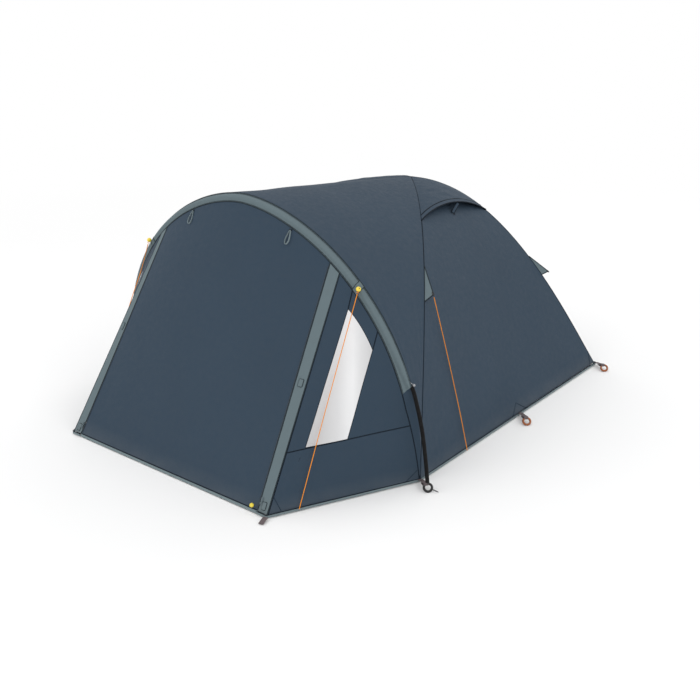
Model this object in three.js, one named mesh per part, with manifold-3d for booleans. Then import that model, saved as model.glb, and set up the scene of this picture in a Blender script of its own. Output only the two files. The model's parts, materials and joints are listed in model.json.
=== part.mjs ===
// Three-person dome tent with a covered front porch.
// Millimetres, +Z up, +X to the tent's right as seen from its front, -Y towards the porch.
// The origin is on the ground, under the middle of the tent's bounding box.

import * as THREE from 'three';
import { mergeVertices } from 'three/addons/utils/BufferGeometryUtils.js';
import Module from 'manifold-3d';

const wasm = await Module();
wasm.setup();

// ---------- driving dimensions ----------

const FOOT_HALF = 1072; // half width between the two front corners of the dome
const REAR_HALF = 1060; // half width between its two rear corners
const DOME_DEPTH = 2000; // front corners to rear corners
const PORCH_DEPTH = 732; // front corners to the porch door's hem
const DOOR_HALF = 722; // half width of the porch's front hem
const CENTRE_Y = 604.5; // from the front corners back to the middle of the bounding box

const ARCH_HEIGHT = 1305; // porch arch, at its top
const ARCH_LEAN = -101; // how far its top leans towards the porch
const ARCH_X_POWER = 2 / 1.775;
const ARCH_Z_POWER = 2 / 2.351;
const ARCH_EASE = 0.3; // share of its height over which the sleeve's width comes in

const APEX_Y = 1397; // crossing of the two dome poles
const APEX_HEIGHT = 1178;
const FRONT_LEG = { halfX: FOOT_HALF, y: 0, plan: 2.241, rise: 1.939, bow: -30 };
const REAR_LEG = { halfX: REAR_HALF, y: DOME_DEPTH, plan: 1.991, rise: 0.929, bow: 16 };

const FABRIC = 2; // thickness that stands in for the fly's cloth
const SEAM = 2; // half gap that keeps neighbouring panels apart
const HEM_BOTTOM = 6;
const HEM_TOP = 23.5;
const HEM_THICKNESS = 3;
const PANEL_BOTTOM = 24.5;
const SIDE_SAG = 40; // how far a side panel draws in between its poles

const SLEEVE_FRONT = { fore: -2, inset: 35 };
const SLEEVE_REAR = { fore: 33, inset: -5 };
const SLEEVE_END_TURN = 0.306; // arch angle at which the sleeve stops
const SLEEVE_RISE = 13;
const SLEEVE_LIFT = 2.4; // its edges lie this far off the cloth under them
const SLEEVE_THICKNESS = 1.6;
const POLE_RADIUS = 4.25;
const POLE_LIFT = 7.25; // centre of the porch pole above the cloth under the sleeve
const ARCH_STEPS = 38;
const DOME_POLE_DEPTH = 13; // centre of a dome pole below the cloth
const DOME_POLE_DROP = 12; // how much lower the lower one passes at the crossing

const BAND_FOOT_INNER = 660; // cover strip over the door's zip, inner edge at the hem
const BAND_TOP_INNER = 577;
const BAND_TOP_OUTER = 634;
const FOLD_HEIGHT = 1030; // line on which the porch door lifts
const FOLD_GAP = 1.5;

const HOOD_FRONT_REACH = 0.436; // how far down each leg the vent hood comes
const HOOD_REAR_REACH = 0.387;
const HOOD_RISE = 71; // how far its brim stands off the side panel, upwards and sideways
const HOOD_TUCK = -21;
const VENT_EDGE_HEIGHT = 1122; // where a side panel stops under its hood

const INNER_PLAN = 0.93; // inner tent, as a share of the fly
const INNER_RISE = 0.94;
const INNER_MIDDLE_Y = 1020;
const INNER_CLOTH = 2.5;
const TUB_HEIGHT = 100;
const TUB_WALL = 3;
const INNER_TOP_GAP = 14; // the inner tent hangs this far below its share of the fly's height
const INNER_DOOR = { bottom: 128, top: 800, footHalf: 540, topHalf: 380 };

const RING_RADIUS = 21.5;
const RING_WIRE = 2.6;
const CORD_RADIUS = 1.5;
const CORD_SIDES = 8;

// ---------- materials ----------

const COLOURS = {
  fly: 0x414e5b, trim: 0x6c7a7f, pane: 0xdcdfe0, pole: 0x17171a, cord: 0xcd7341,
  toggle: 0xe8d23c, web: 0x69605f, ring: 0x8a5a3c, blackRing: 0x1b1a1b, steel: 0x8d9093,
  tub: 0x33383d, inner: 0xa9aeb2, slider: 0xcfc044,
};

function finish(colour, roughness = 0.8, metalness = 0) {
  return new THREE.MeshStandardMaterial({ color: COLOURS[colour], roughness, metalness });
}

// ---------- solids ----------

function signedVolume(geometry) {
  const at = geometry.attributes.position;
  const index = geometry.index;
  const corners = [new THREE.Vector3(), new THREE.Vector3(), new THREE.Vector3()];
  let total = 0;
  for (let i = 0; i < index.count; i += 3) {
    corners.forEach((corner, k) => corner.fromBufferAttribute(at, index.getX(i + k)));
    total += corners[0].dot(corners[1].clone().cross(corners[2]));
  }
  return total / 6;
}

// Welds the shared vertices of a closed geometry and turns its faces outwards.
function welded(geometry) {
  const bare = geometry.clone();
  bare.deleteAttribute('normal');
  bare.deleteAttribute('uv');
  const merged = mergeVertices(bare, 1e-3);
  if (signedVolume(merged) < 0) {
    const index = merged.index;
    for (let i = 0; i < index.count; i += 3) {
      const first = index.getX(i);
      index.setX(i, index.getX(i + 1));
      index.setX(i + 1, first);
    }
  }
  merged.computeVertexNormals();
  return merged;
}

function toSolid(geometry) {
  const closed = welded(geometry);
  return new wasm.Manifold(new wasm.Mesh({
    numProp: 3,
    vertProperties: new Float32Array(closed.attributes.position.array),
    triVerts: new Uint32Array(closed.index.array),
  }));
}

function fromSolid(solid) {
  const mesh = solid.getMesh();
  const geometry = new THREE.BufferGeometry();
  geometry.setAttribute('position', new THREE.BufferAttribute(mesh.vertProperties, 3));
  geometry.setIndex(new THREE.BufferAttribute(mesh.triVerts, 1));
  return geometry;
}

function cut(geometry, tool) {
  return fromSolid(toSolid(geometry).subtract(toSolid(tool)));
}

function common(geometry, tool) {
  return fromSolid(toSolid(geometry).intersect(toSolid(tool)));
}

const tent = new THREE.Group();
tent.position.y = -CENTRE_Y;

function piece(name, geometry, material) {
  const mesh = new THREE.Mesh(welded(geometry), material);
  mesh.name = name;
  tent.add(mesh);
}

// A right-hand piece and its mirror image.
function pair(name, geometry, ...look) {
  piece(`${name}_right`, geometry, finish(...look));
  piece(`${name}_left`, geometry.clone().scale(-1, 1, 1), finish(...look));
}

function normalAt(surface, u, v) {
  const step = 1e-3;
  const across = surface(Math.min(u + step, 1), v).sub(surface(Math.max(u - step, 0), v));
  const along = surface(u, Math.min(v + step, 1)).sub(surface(u, Math.max(v - step, 0)));
  return across.cross(along).normalize();
}

// Splits the cells of a box's back along the same diagonals as those of its front.
function matchDiagonals(geometry) {
  const back = geometry.groups[5];
  const index = geometry.index;
  for (let i = back.start; i < back.start + back.count; i += 6) {
    const [a, b, d, , c] = [0, 1, 2, 3, 4].map((k) => index.getX(i + k));
    [a, b, c, a, c, d].forEach((corner, k) => index.setX(i + k, corner));
  }
}

// A sheet of cloth: a box whose two broad faces follow surface(u, v), u and v from 0 to 1.
function sheet(surface, across, along, thickness = FABRIC) {
  const geometry = new THREE.BoxGeometry(1, 1, 1, across, along, 1);
  matchDiagonals(geometry);
  const at = geometry.attributes.position;
  for (let i = 0; i < at.count; i += 1) {
    const u = at.getX(i) + 0.5;
    const v = at.getY(i) + 0.5;
    const point = surface(u, v).addScaledVector(normalAt(surface, u, v), at.getZ(i) * thickness);
    at.setXYZ(i, point.x, point.y, point.z);
  }
  return geometry;
}

// A closed shell of horizontal rings: ring(turn, level), turn once round from 0 to 1.
function drum(ring, around, levels) {
  const geometry = new THREE.CylinderGeometry(1, 1, 1, around, levels);
  const at = geometry.attributes.position;
  for (let i = 0; i < at.count; i += 1) {
    const level = at.getY(i) + 0.5;
    const onAxis = Math.hypot(at.getX(i), at.getZ(i)) < 0.5;
    const turn = (Math.atan2(at.getX(i), at.getZ(i)) / (2 * Math.PI) + 1) % 1;
    const point = onAxis ? ring(0, level).add(ring(0.5, level)).multiplyScalar(0.5) : ring(turn, level);
    at.setXYZ(i, point.x, point.y, point.z);
  }
  return geometry;
}

function polygon(radius, sides) {
  const shape = new THREE.Shape();
  for (let i = 0; i < sides; i += 1) {
    const angle = (i / sides) * 2 * Math.PI;
    const corner = [radius * Math.cos(angle), radius * Math.sin(angle)];
    if (i === 0) shape.moveTo(...corner);
    else shape.lineTo(...corner);
  }
  shape.closePath();
  return shape;
}

function rod(path, radius, steps, sides = CORD_SIDES) {
  return new THREE.ExtrudeGeometry(polygon(radius, sides), { extrudePath: path, steps });
}

function curveThrough(points) {
  return new THREE.CatmullRomCurve3(points, false, 'centripetal');
}

// A flat strap of the given width between two points, lying as level as its slope allows.
function strap(from, to, width, thickness = FABRIC) {
  const along = to.clone().sub(from);
  const level = new THREE.Vector3(-along.y, along.x, 0).normalize();
  const up = along.clone().normalize().cross(level).negate();
  const basis = new THREE.Matrix4().makeBasis(along.clone().normalize(), level, up);
  const geometry = new THREE.BoxGeometry(along.length(), width, thickness);
  const middle = from.clone().add(to).multiplyScalar(0.5);
  return geometry.applyMatrix4(basis.setPosition(middle));
}

function prism(shape, depth) {
  return new THREE.ExtrudeGeometry(shape, { depth, bevelEnabled: false });
}

// A flat plate through three or more corners.
function plate(corners, thickness = FABRIC) {
  const across = corners[1].clone().sub(corners[0]).normalize();
  const normal = across.clone().cross(corners[2].clone().sub(corners[0])).normalize();
  const up = normal.clone().cross(across);
  const flat = corners.map((corner) => {
    const offset = corner.clone().sub(corners[0]);
    return new THREE.Vector2(offset.dot(across), offset.dot(up));
  });
  const geometry = prism(new THREE.Shape(flat), thickness).translate(0, 0, -thickness / 2);
  return geometry.applyMatrix4(new THREE.Matrix4().makeBasis(across, up, normal).setPosition(corners[0]));
}

// ---------- lines of the tent ----------

// The porch arch: turn 0 is the right foot, PI / 2 the top, PI the left foot.
function archPoint(turn, { fore = 0, inset = 0 } = {}) {
  const c = Math.cos(turn);
  const s = Math.max(Math.sin(turn), 0);
  const x = FOOT_HALF * Math.sign(c) * Math.abs(c) ** ARCH_X_POWER;
  const z = ARCH_HEIGHT * s ** ARCH_Z_POWER;
  const outward = new THREE.Vector3(x / FOOT_HALF ** 2, 0, z / ARCH_HEIGHT ** 2).normalize();
  const share = Math.min(1, z / (ARCH_EASE * ARCH_HEIGHT));
  const y = (ARCH_LEAN * z) / ARCH_HEIGHT + fore * share;
  return new THREE.Vector3(x, y, z).addScaledVector(outward, -inset * share);
}

function bisect(low, high, isBelow) {
  let [from, to] = [low, high];
  for (let i = 0; i < 50; i += 1) {
    const middle = (from + to) / 2;
    if (isBelow(middle)) from = middle;
    else to = middle;
  }
  return (from + to) / 2;
}

// Points of the sleeve's front edge, where the door and the porch walls are sewn on.
function edgeAtHeight(z) {
  return archPoint(bisect(0, Math.PI / 2, (turn) => archPoint(turn, SLEEVE_FRONT).z < z), SLEEVE_FRONT);
}

function edgeAtX(x) {
  return archPoint(bisect(0, Math.PI, (turn) => archPoint(turn, SLEEVE_FRONT).x > x), SLEEVE_FRONT);
}

// A dome pole's line from a corner to the apex, by its share of the plan distance.
function legPoint(leg, side, reach) {
  const run = new THREE.Vector2(leg.halfX * side, leg.y - APEX_Y);
  const sideways = new THREE.Vector2(run.y, -run.x).normalize().multiplyScalar(side);
  const bow = 4 * reach * (1 - reach) * leg.bow;
  const z = APEX_HEIGHT * Math.max(1 - reach ** leg.plan, 0) ** (1 / leg.rise);
  return new THREE.Vector3(run.x * reach + sideways.x * bow, APEX_Y + run.y * reach + sideways.y * bow, z);
}

function legAtHeight(leg, side, z) {
  const share = Math.min(z / APEX_HEIGHT, 1);
  return legPoint(leg, side, Math.max(1 - share ** leg.rise, 0) ** (1 / leg.plan));
}

// Between two points, with a seam's gap left at each end.
function between(from, to, share, gap = SEAM) {
  const length = from.distanceTo(to);
  return from.clone().lerp(to, (gap + share * (length - 2 * gap)) / length);
}

// ---------- fly of the dome ----------

// The front roof runs under the pole sleeve (first row) and then back to the two front legs.
const ROOF_ROWS = 8;
const ROOF_FOOT_TURN = 0.045;
const ROOF_FRONT_SHARE = 0.04; // how far behind the sleeve's front edge the roof cloth starts

function roofSurface(u, v) {
  const turn = ROOF_FOOT_TURN + u * (Math.PI - 2 * ROOF_FOOT_TURN);
  const front = archPoint(turn, SLEEVE_FRONT);
  const rear = archPoint(turn, SLEEVE_REAR);
  const side = turn < Math.PI / 2 ? 1 : -1;
  const leg = legAtHeight(FRONT_LEG, side, APEX_HEIGHT * Math.sin(turn) ** ARCH_Z_POWER);
  const kink = 1 / ROOF_ROWS;
  const start = ROOF_FRONT_SHARE + ((1 - ROOF_FRONT_SHARE) * v) / kink;
  if (v < kink) return front.clone().lerp(rear, start);
  const share = (v - kink) / (1 - kink);
  return rear.clone().lerp(leg, share * (1 - SEAM / rear.distanceTo(leg)));
}

const SAG_WAY = new THREE.Vector3(-0.9, 0, -0.44); // inwards and down
const SAG_HEIGHT = 1000;

function sidePoint(z, share) {
  const point = between(legAtHeight(FRONT_LEG, 1, z), legAtHeight(REAR_LEG, 1, z), share);
  const sag = SIDE_SAG * Math.sin(Math.PI * share) * Math.sin(Math.PI * Math.min(z / SAG_HEIGHT, 1));
  return point.addScaledVector(SAG_WAY, sag);
}

const ROW_EASE = 1.25; // brings the rows closer where the pole lines bend over

function sideSurface(u, v) {
  const rise = Math.sin(v * ROW_EASE) / Math.sin(ROW_EASE);
  return sidePoint(PANEL_BOTTOM + rise * (VENT_EDGE_HEIGHT - PANEL_BOTTOM), u);
}

const REAR_TOP_REACH = 0.016;

function rearSurface(u, v) {
  const foot = (1 - (PANEL_BOTTOM / APEX_HEIGHT) ** REAR_LEG.rise) ** (1 / REAR_LEG.plan);
  const reach = foot + (REAR_TOP_REACH - foot) * v;
  return between(legPoint(REAR_LEG, 1, reach), legPoint(REAR_LEG, -1, reach), u);
}

// A vent hood covers the top of a side panel and stands off it at its brim (v = 1).
const HOOD_TIP = 0.09;
const HOOD_CLEARANCE = 4;
const HOOD_SEAM = 6;
const HOOD_ROUND = 0.93; // under 1 makes its arch fuller near the seams

function hoodSurface(u, v) {
  const share = HOOD_TIP + (1 - HOOD_TIP) * v;
  const front = legPoint(FRONT_LEG, 1, HOOD_FRONT_REACH * share);
  const rear = legPoint(REAR_LEG, 1, HOOD_REAR_REACH * share);
  const bulge = (4 * u * (1 - u)) ** HOOD_ROUND * share ** 2;
  const lift = new THREE.Vector3(HOOD_TUCK * bulge, 0, HOOD_RISE * bulge + HOOD_CLEARANCE);
  return between(front, rear, u, HOOD_SEAM).add(lift);
}

// ---------- porch ----------

function doorSurface(x, z) {
  const edge = edgeAtX(x * BAND_TOP_INNER);
  const hem = new THREE.Vector3(x * BAND_FOOT_INNER, -PORCH_DEPTH, 0);
  return hem.lerp(edge, z / edge.z);
}

const DOOR_SIDE_GAP = 0.0026; // share of the half width
const DOOR_TOP_GAP = 3;

function doorPanel(u, v, bottom, top) {
  return doorSurface((2 * u - 1) * (1 - DOOR_SIDE_GAP), bottom + v * (top - bottom));
}

function doorTopSurface(u, v) {
  const x = (2 * u - 1) * (1 - DOOR_SIDE_GAP);
  const bottom = FOLD_HEIGHT + FOLD_GAP;
  const top = edgeAtX(x * BAND_TOP_INNER).z - DOOR_TOP_GAP;
  return doorSurface(x, bottom + v * (top - bottom));
}

const BAND_INNER_TOP = edgeAtX(BAND_TOP_INNER);
const BAND_OUTER_TOP = edgeAtX(BAND_TOP_OUTER);
const BAND_INNER_FOOT = new THREE.Vector3(BAND_FOOT_INNER, -PORCH_DEPTH, 0);
const PORCH_CORNER = new THREE.Vector3(DOOR_HALF, -PORCH_DEPTH, 0);

const BAND_END = 0.996; // share of its length at which the cover strip stops, short of the sleeve
const BAND_GAP = 0.8;

function bandSurface(u, v) {
  const bottom = PANEL_BOTTOM / BAND_INNER_TOP.z;
  const rise = bottom + v * (BAND_END - bottom);
  const inner = BAND_INNER_FOOT.clone().lerp(BAND_INNER_TOP, rise);
  const outer = PORCH_CORNER.clone().lerp(BAND_OUTER_TOP, rise);
  return between(inner, outer, u, BAND_GAP);
}

const WALL_TOP_GAP = 14;

function wallPoint(z, share) {
  const front = PORCH_CORNER.clone().lerp(BAND_OUTER_TOP, z / BAND_OUTER_TOP.z);
  return between(front, edgeAtHeight(z), share);
}

function wallSurface(u, v) {
  return wallPoint(PANEL_BOTTOM + v * (BAND_OUTER_TOP.z - WALL_TOP_GAP - PANEL_BOTTOM), u);
}

// Window corners on the porch wall: height, and share of the way from the door to the arch.
const WINDOW = [[858, 0.632], [675, 0.823], [281, 0.488], [270, 0.167]];
const PANE_THICKNESS = 1.2;
const PANE_GAP = 1.2;
const PRISM_DEPTH = 160; // deeper than the wall's curve

function windowPrism(shrink) {
  const corners = WINDOW.map(([z, share]) => wallPoint(z, share));
  const middle = corners.reduce((sum, corner) => sum.add(corner), new THREE.Vector3()).multiplyScalar(0.25);
  const drawn = corners.map((corner) => {
    const inward = middle.clone().sub(corner).normalize();
    return corner.clone().addScaledVector(inward, shrink);
  });
  return plate(drawn, PRISM_DEPTH);
}

const WALL_GRID = [8, 10];
const porchWall = sheet(wallSurface, ...WALL_GRID);
const pane = common(sheet(wallSurface, ...WALL_GRID, PANE_THICKNESS), windowPrism(PANE_GAP));

// ---------- pole sleeve and poles ----------

function sleeveFrame(turn) {
  const front = archPoint(turn, SLEEVE_FRONT);
  const rear = archPoint(turn, SLEEVE_REAR);
  const tangent = archPoint(turn + 1e-3).sub(archPoint(turn - 1e-3));
  const outward = rear.clone().sub(front).cross(tangent).normalize();
  if (outward.z < 0) outward.negate();
  return { front, rear, outward };
}

function sleeveSurface(u, v) {
  const { front, rear, outward } = sleeveFrame(SLEEVE_END_TURN + u * (Math.PI - 2 * SLEEVE_END_TURN));
  return front.lerp(rear, v).addScaledVector(outward, SLEEVE_LIFT + SLEEVE_RISE * Math.sin(Math.PI * v));
}

function porchPolePoint(turn) {
  const { front, rear, outward } = sleeveFrame(turn);
  return front.lerp(rear, 0.5).addScaledVector(outward, POLE_LIFT);
}

const POLE_JOINT_TURN = 0.62; // where the side lengths of the porch pole meet its top length
const POLE_FOOT = new THREE.Vector3(1154, -60, 44);
const POLE_BELOW_SLEEVE = new THREE.Vector3(1083, -37, 245);
const POLE_JOINT_GAP = 0.004; // as an arch angle

class PorchPoleTop extends THREE.Curve {
  getPoint(t) {
    return porchPolePoint(POLE_JOINT_TURN + t * (Math.PI - 2 * POLE_JOINT_TURN));
  }
}

const poleSide = curveThrough([
  ...[POLE_JOINT_TURN - POLE_JOINT_GAP, 0.54, 0.46, 0.38, SLEEVE_END_TURN].map(porchPolePoint),
  POLE_BELOW_SLEEVE, POLE_FOOT,
]);

const DOME_POLE_ENDS = [0.012, 0.948]; // shares of its line, so that its feet clear the ground
const DOME_POLE_CENTRE = new THREE.Vector3(0, 1050, 0); // the poles are set in towards this point
const CROSSING_REACH = 500; // how far from the apex the lower pole starts to drop

// A dome pole runs under the cloth from a front corner over the apex to the far rear corner.
class DomePole extends THREE.Curve {
  constructor(side, drop) {
    super();
    this.side = side;
    this.drop = drop;
  }

  line(t) {
    const leg = t < 0.5 ? FRONT_LEG : REAR_LEG;
    const side = t < 0.5 ? this.side : -this.side;
    const turn = (1 - Math.abs(2 * t - 1)) * (Math.PI / 2);
    const reach = Math.max(Math.cos(turn), 0) ** (t < 0.5 ? 0.9 : 1);
    return legPoint(leg, side, reach);
  }

  getPoint(t) {
    const share = DOME_POLE_ENDS[0] + t * (DOME_POLE_ENDS[1] - DOME_POLE_ENDS[0]);
    const point = this.line(share);
    const along = this.line(share + 2e-3).sub(this.line(share - 2e-3)).normalize();
    const inward = DOME_POLE_CENTRE.clone().sub(point);
    inward.addScaledVector(along, -inward.dot(along)).normalize();
    const middle = 1 - Math.min(Math.hypot(point.x, point.y - APEX_Y) / CROSSING_REACH, 1);
    return point.addScaledVector(inward, DOME_POLE_DEPTH + this.drop * middle);
  }
}

// ---------- inner tent ----------

const CORNERS = [[FRONT_LEG, 1], [REAR_LEG, 1], [REAR_LEG, -1], [FRONT_LEG, -1]];

const INNER_BOTTOM = TUB_HEIGHT + 1.5;
const INNER_SPAN = APEX_HEIGHT * INNER_RISE - TUB_HEIGHT - INNER_TOP_GAP;
const INNER_HALF = 900; // rough half width, which turns a shrink into a share

function innerRing(turn, level, shrink) {
  const z = INNER_BOTTOM + level * INNER_SPAN;
  const corner = Math.min(Math.floor(turn * 4), 3);
  const [from, to] = [CORNERS[corner], CORNERS[(corner + 1) % 4]].map(([leg, side]) => {
    return legAtHeight(leg, side, (z + shrink) / INNER_RISE);
  });
  const point = from.lerp(to, turn * 4 - corner);
  const plan = INNER_PLAN * (1 - shrink / INNER_HALF);
  return new THREE.Vector3(point.x * plan, INNER_MIDDLE_Y + (point.y - INNER_MIDDLE_Y) * plan, z - shrink);
}

function innerShell() {
  const eased = (level) => Math.sin((level * Math.PI) / 2);
  const outer = drum((turn, level) => innerRing(turn, eased(level), 0), 32, 10);
  const hollow = drum((turn, level) => innerRing(turn, eased(level), INNER_CLOTH), 32, 10);
  return cut(outer, hollow);
}

const INNER_DOOR_GAP = 3;
const DOORWAY = { y: 350, depth: 800 }; // the block that cuts the inner doorway

function doorPrism(gap) {
  const { bottom, top, footHalf, topHalf } = INNER_DOOR;
  const corners = [[-footHalf + gap, bottom + gap], [footHalf - gap, bottom + gap],
    [topHalf - gap, top - gap], [-topHalf + gap, top - gap]];
  return plate(corners.map(([x, z]) => new THREE.Vector3(x, DOORWAY.y, z)), DOORWAY.depth);
}

function tubOutline(inset) {
  const foot = CORNERS.map(([leg, side]) => legAtHeight(leg, side, TUB_HEIGHT / INNER_RISE));
  return new THREE.Shape(foot.map((point) => new THREE.Vector2(
    (point.x * INNER_PLAN) - Math.sign(point.x) * inset,
    INNER_MIDDLE_Y + (point.y - INNER_MIDDLE_Y) * INNER_PLAN - Math.sign(point.y - INNER_MIDDLE_Y) * inset,
  )));
}

function groundsheet() {
  const hollow = prism(tubOutline(TUB_WALL), TUB_HEIGHT).translate(0, 0, TUB_WALL);
  return cut(prism(tubOutline(0), TUB_HEIGHT), hollow);
}

// ---------- hem tape ----------

// A ribbon standing on the ground along a plan outline, centred on it.
function ribbon(outline, half) {
  const offset = (sign) => outline.map((point, i) => {
    const before = point.clone().sub(outline[Math.max(i - 1, 0)]).normalize();
    const after = outline[Math.min(i + 1, outline.length - 1)].clone().sub(point).normalize();
    if (before.lengthSq() === 0) before.copy(after);
    if (after.lengthSq() === 0) after.copy(before);
    const middle = before.clone().add(after).normalize();
    const reach = (sign * half) / middle.dot(before);
    return point.clone().add(new THREE.Vector2(-middle.y, middle.x).multiplyScalar(reach));
  });
  return new THREE.Shape([...offset(1), ...offset(-1).reverse()]);
}

const HEM_CORNERS = [[BAND_FOOT_INNER + 1, -PORCH_DEPTH], [DOOR_HALF, -PORCH_DEPTH], [FOOT_HALF, 0],
  [REAR_HALF, DOME_DEPTH]];
const HEM_OUTLINE = [...HEM_CORNERS, ...HEM_CORNERS.map(([x, y]) => [-x, y]).reverse()]
  .map(([x, y]) => new THREE.Vector2(x, y));

function hemTape() {
  return prism(ribbon(HEM_OUTLINE, HEM_THICKNESS / 2), HEM_TOP - HEM_BOTTOM).translate(0, 0, HEM_BOTTOM);
}

// ---------- small fittings ----------

const SLIDER_HEIGHT = 62;
const SLIDER = { width: 11, length: 22, depth: 7, inset: 9, standOff: 8 };
const PULL = { radius: 7, depth: 5, drop: 17 };

// A zip slider that stands on the cover strip, with its pull tab hanging below.
function sliderAt(height) {
  const rise = height / BAND_INNER_TOP.z;
  const along = BAND_INNER_TOP.clone().sub(BAND_INNER_FOOT).normalize();
  const outward = normalAt(bandSurface, 0.5, 0.5);
  if (outward.y > 0) outward.negate();
  const across = along.clone().cross(outward).normalize();
  if (across.x < 0) across.negate();
  const body = new THREE.BoxGeometry(SLIDER.width, SLIDER.length, SLIDER.depth);
  const pull = new THREE.CylinderGeometry(PULL.radius, PULL.radius, PULL.depth, 12);
  pull.rotateX(Math.PI / 2).translate(0, -PULL.drop, 0);
  const joined = fromSolid(toSolid(body).add(toSolid(pull)));
  const foot = BAND_INNER_FOOT.clone().lerp(BAND_INNER_TOP, rise);
  foot.addScaledVector(across, SLIDER.inset).addScaledVector(outward, SLIDER.standOff);
  const up = outward.clone().cross(across);
  if (up.z < 0) up.negate();
  const basis = new THREE.Matrix4().makeBasis(across, up, across.clone().cross(up));
  return joined.applyMatrix4(basis.setPosition(foot));
}

// The loops that tie up the rolled door: gap from the sleeve, half widths, fall and forward slope.
const LOOP = { x: 344, gap: 10.5, topHalf: 4, grow: 8.5, fall: 30, slope: 18, tapeHalf: 10 };

function hangingLoop({ x, gap, topHalf, grow, fall, slope, tapeHalf }) {
  const loop = new THREE.TorusGeometry(1, 0.11, 6, 20);
  const at = loop.attributes.position;
  const top = edgeAtX(x);
  for (let i = 0; i < at.count; i += 1) {
    const drop = 1 - at.getY(i);
    const half = topHalf + grow * Math.min(drop / 1.6, 1);
    const y = top.y - gap - drop * slope - at.getZ(i) * tapeHalf;
    at.setXYZ(i, top.x + at.getX(i) * half, y, top.z - gap - drop * fall);
  }
  return loop;
}

// The webbing strap at a hem point and the ring on its free end.
const RING_FACING = new THREE.Vector3(0.44, -0.555, 0.706).normalize();

function ringPose(anchor, centre) {
  const reach = anchor.clone().sub(centre);
  reach.addScaledVector(RING_FACING, -reach.dot(RING_FACING)).normalize();
  const eye = centre.clone().addScaledVector(reach, RING_RADIUS);
  return { reach, eye, axis: RING_FACING.clone().cross(reach).normalize() };
}

function ringAt(centre) {
  const turned = new THREE.Quaternion().setFromUnitVectors(new THREE.Vector3(0, 0, 1), RING_FACING);
  return new THREE.TorusGeometry(RING_RADIUS, RING_WIRE, 6, 20).applyQuaternion(turned)
    .translate(centre.x, centre.y, centre.z);
}

const RINGED = [
  { name: 'corner', anchor: [1074.5, -3, 15], centre: [1154, -50, 18.4], ring: 'blackRing' },
  { name: 'side', anchor: [1070, 1004, 15], centre: [1156, 922, 18.4], ring: 'ring' },
  { name: 'rear', anchor: [1062.5, 1996, 15], centre: [1148, 1936, 18.4], ring: 'ring' },
];

const WEB_WIDTH = 18;
const WEB_START = 8; // the strap starts this far off the hem

function ringSets() {
  for (const { name, anchor, centre, ring } of RINGED) {
    const from = new THREE.Vector3(...anchor);
    const middle = new THREE.Vector3(...centre);
    const { eye } = ringPose(from, middle);
    const outward = eye.clone().sub(from).normalize();
    const end = eye.clone().addScaledVector(outward, -RING_WIRE - 1);
    pair(`strap_${name}`, strap(from.addScaledVector(outward, WEB_START), end, WEB_WIDTH), 'web', 0.9);
    pair(`ring_${name}`, ringAt(middle), ring, 0.4, 0.8);
  }
}

const PIN_TIP = new THREE.Vector3(1206, -36, 5);
const PIN_RADIUS = 2;
const PORCH_STRAP = [new THREE.Vector3(724, -737, 11), new THREE.Vector3(738, -790, 3)];
const PORCH_STRAP_WIDTH = 26;

function groundPin() {
  const centre = new THREE.Vector3(...RINGED[0].centre);
  const reach = PIN_TIP.clone().sub(centre).normalize();
  const start = centre.clone().addScaledVector(reach, RING_RADIUS + RING_WIRE + 0.8);
  return rod(new THREE.LineCurve3(start, PIN_TIP), PIN_RADIUS, 1);
}

const TAB_STAND_OFF = 13;

// Triangular tabs sewn into the pole seams, for the dome's guy lines.
function guyTab(leg, topHeight, bottomHeight, reach) {
  const top = legAtHeight(leg, 1, topHeight);
  const bottom = legAtHeight(leg, 1, bottomHeight);
  const tip = legAtHeight(leg, 1, (topHeight + bottomHeight) / 2).add(reach);
  const outward = reach.clone().normalize();
  const lifted = [top, bottom].map((corner) => corner.addScaledVector(outward, TAB_STAND_OFF));
  return [...lifted, tip];
}

const FRONT_TAB = guyTab(FRONT_LEG, 918, 798, new THREE.Vector3(63, -4, -46));
const REAR_TAB = guyTab(REAR_LEG, 707, 593, new THREE.Vector3(58, 70, -46));

// A prop that holds up a vent hood's brim, pivoting on the side panel.
const PROP_FOOT_HEIGHT = 1045;
const PROP_FOOT_SHARE = 0.55;
const PROP_HEAD_SHARE = 0.58; // along the brim
const PROP = { width: 11, thickness: 3, foot: new THREE.Vector3(3, 0, 7), head: new THREE.Vector3(0, 0, -6) };

function ventProp() {
  const foot = sidePoint(PROP_FOOT_HEIGHT, PROP_FOOT_SHARE).add(PROP.foot);
  const head = hoodSurface(PROP_HEAD_SHARE, 1).add(PROP.head);
  return strap(foot, head, PROP.width, PROP.thickness);
}

const TOGGLE = { x: 745, across: 0.45, radius: 12.5, gap: 4.1 };

// A ball on the porch pole sleeve, where a porch guy line is tied.
function guyToggle() {
  const turn = bisect(0, Math.PI / 2, (trial) => archPoint(trial).x > TOGGLE.x);
  const { front, rear, outward } = sleeveFrame(turn);
  const rise = SLEEVE_RISE + TOGGLE.radius + TOGGLE.gap;
  const seat = front.lerp(rear, TOGGLE.across).addScaledVector(outward, rise);
  return new THREE.SphereGeometry(TOGGLE.radius, 12, 8).translate(seat.x, seat.y, seat.z);
}

// ---------- cords ----------

// Routes of the guy lines, from the tie point on the tent down to the hem.
const GUY_ROUTES = {
  guy_line_porch_right: [[748, -92, 932], [765, -259, 630], [783, -427, 325], [800, -592, 16]],
  guy_line_porch_left: [[-748, -92, 932], [-780, -119, 803], [-857, -179, 553], [-894, -276, 252],
    [-906, -366, 16]],
  guy_line_dome_right: [[843, 421, 806], [912, 418.5, 598], [977, 417, 392], [1037, 415, 196],
    [1087, 413, 16]],
};
const CORD_STEPS = 24;

function cord(points) {
  const path = curveThrough(points.map((point) => new THREE.Vector3(...point)));
  return rod(path, CORD_RADIUS, CORD_STEPS);
}

// ---------- assembly ----------

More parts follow.
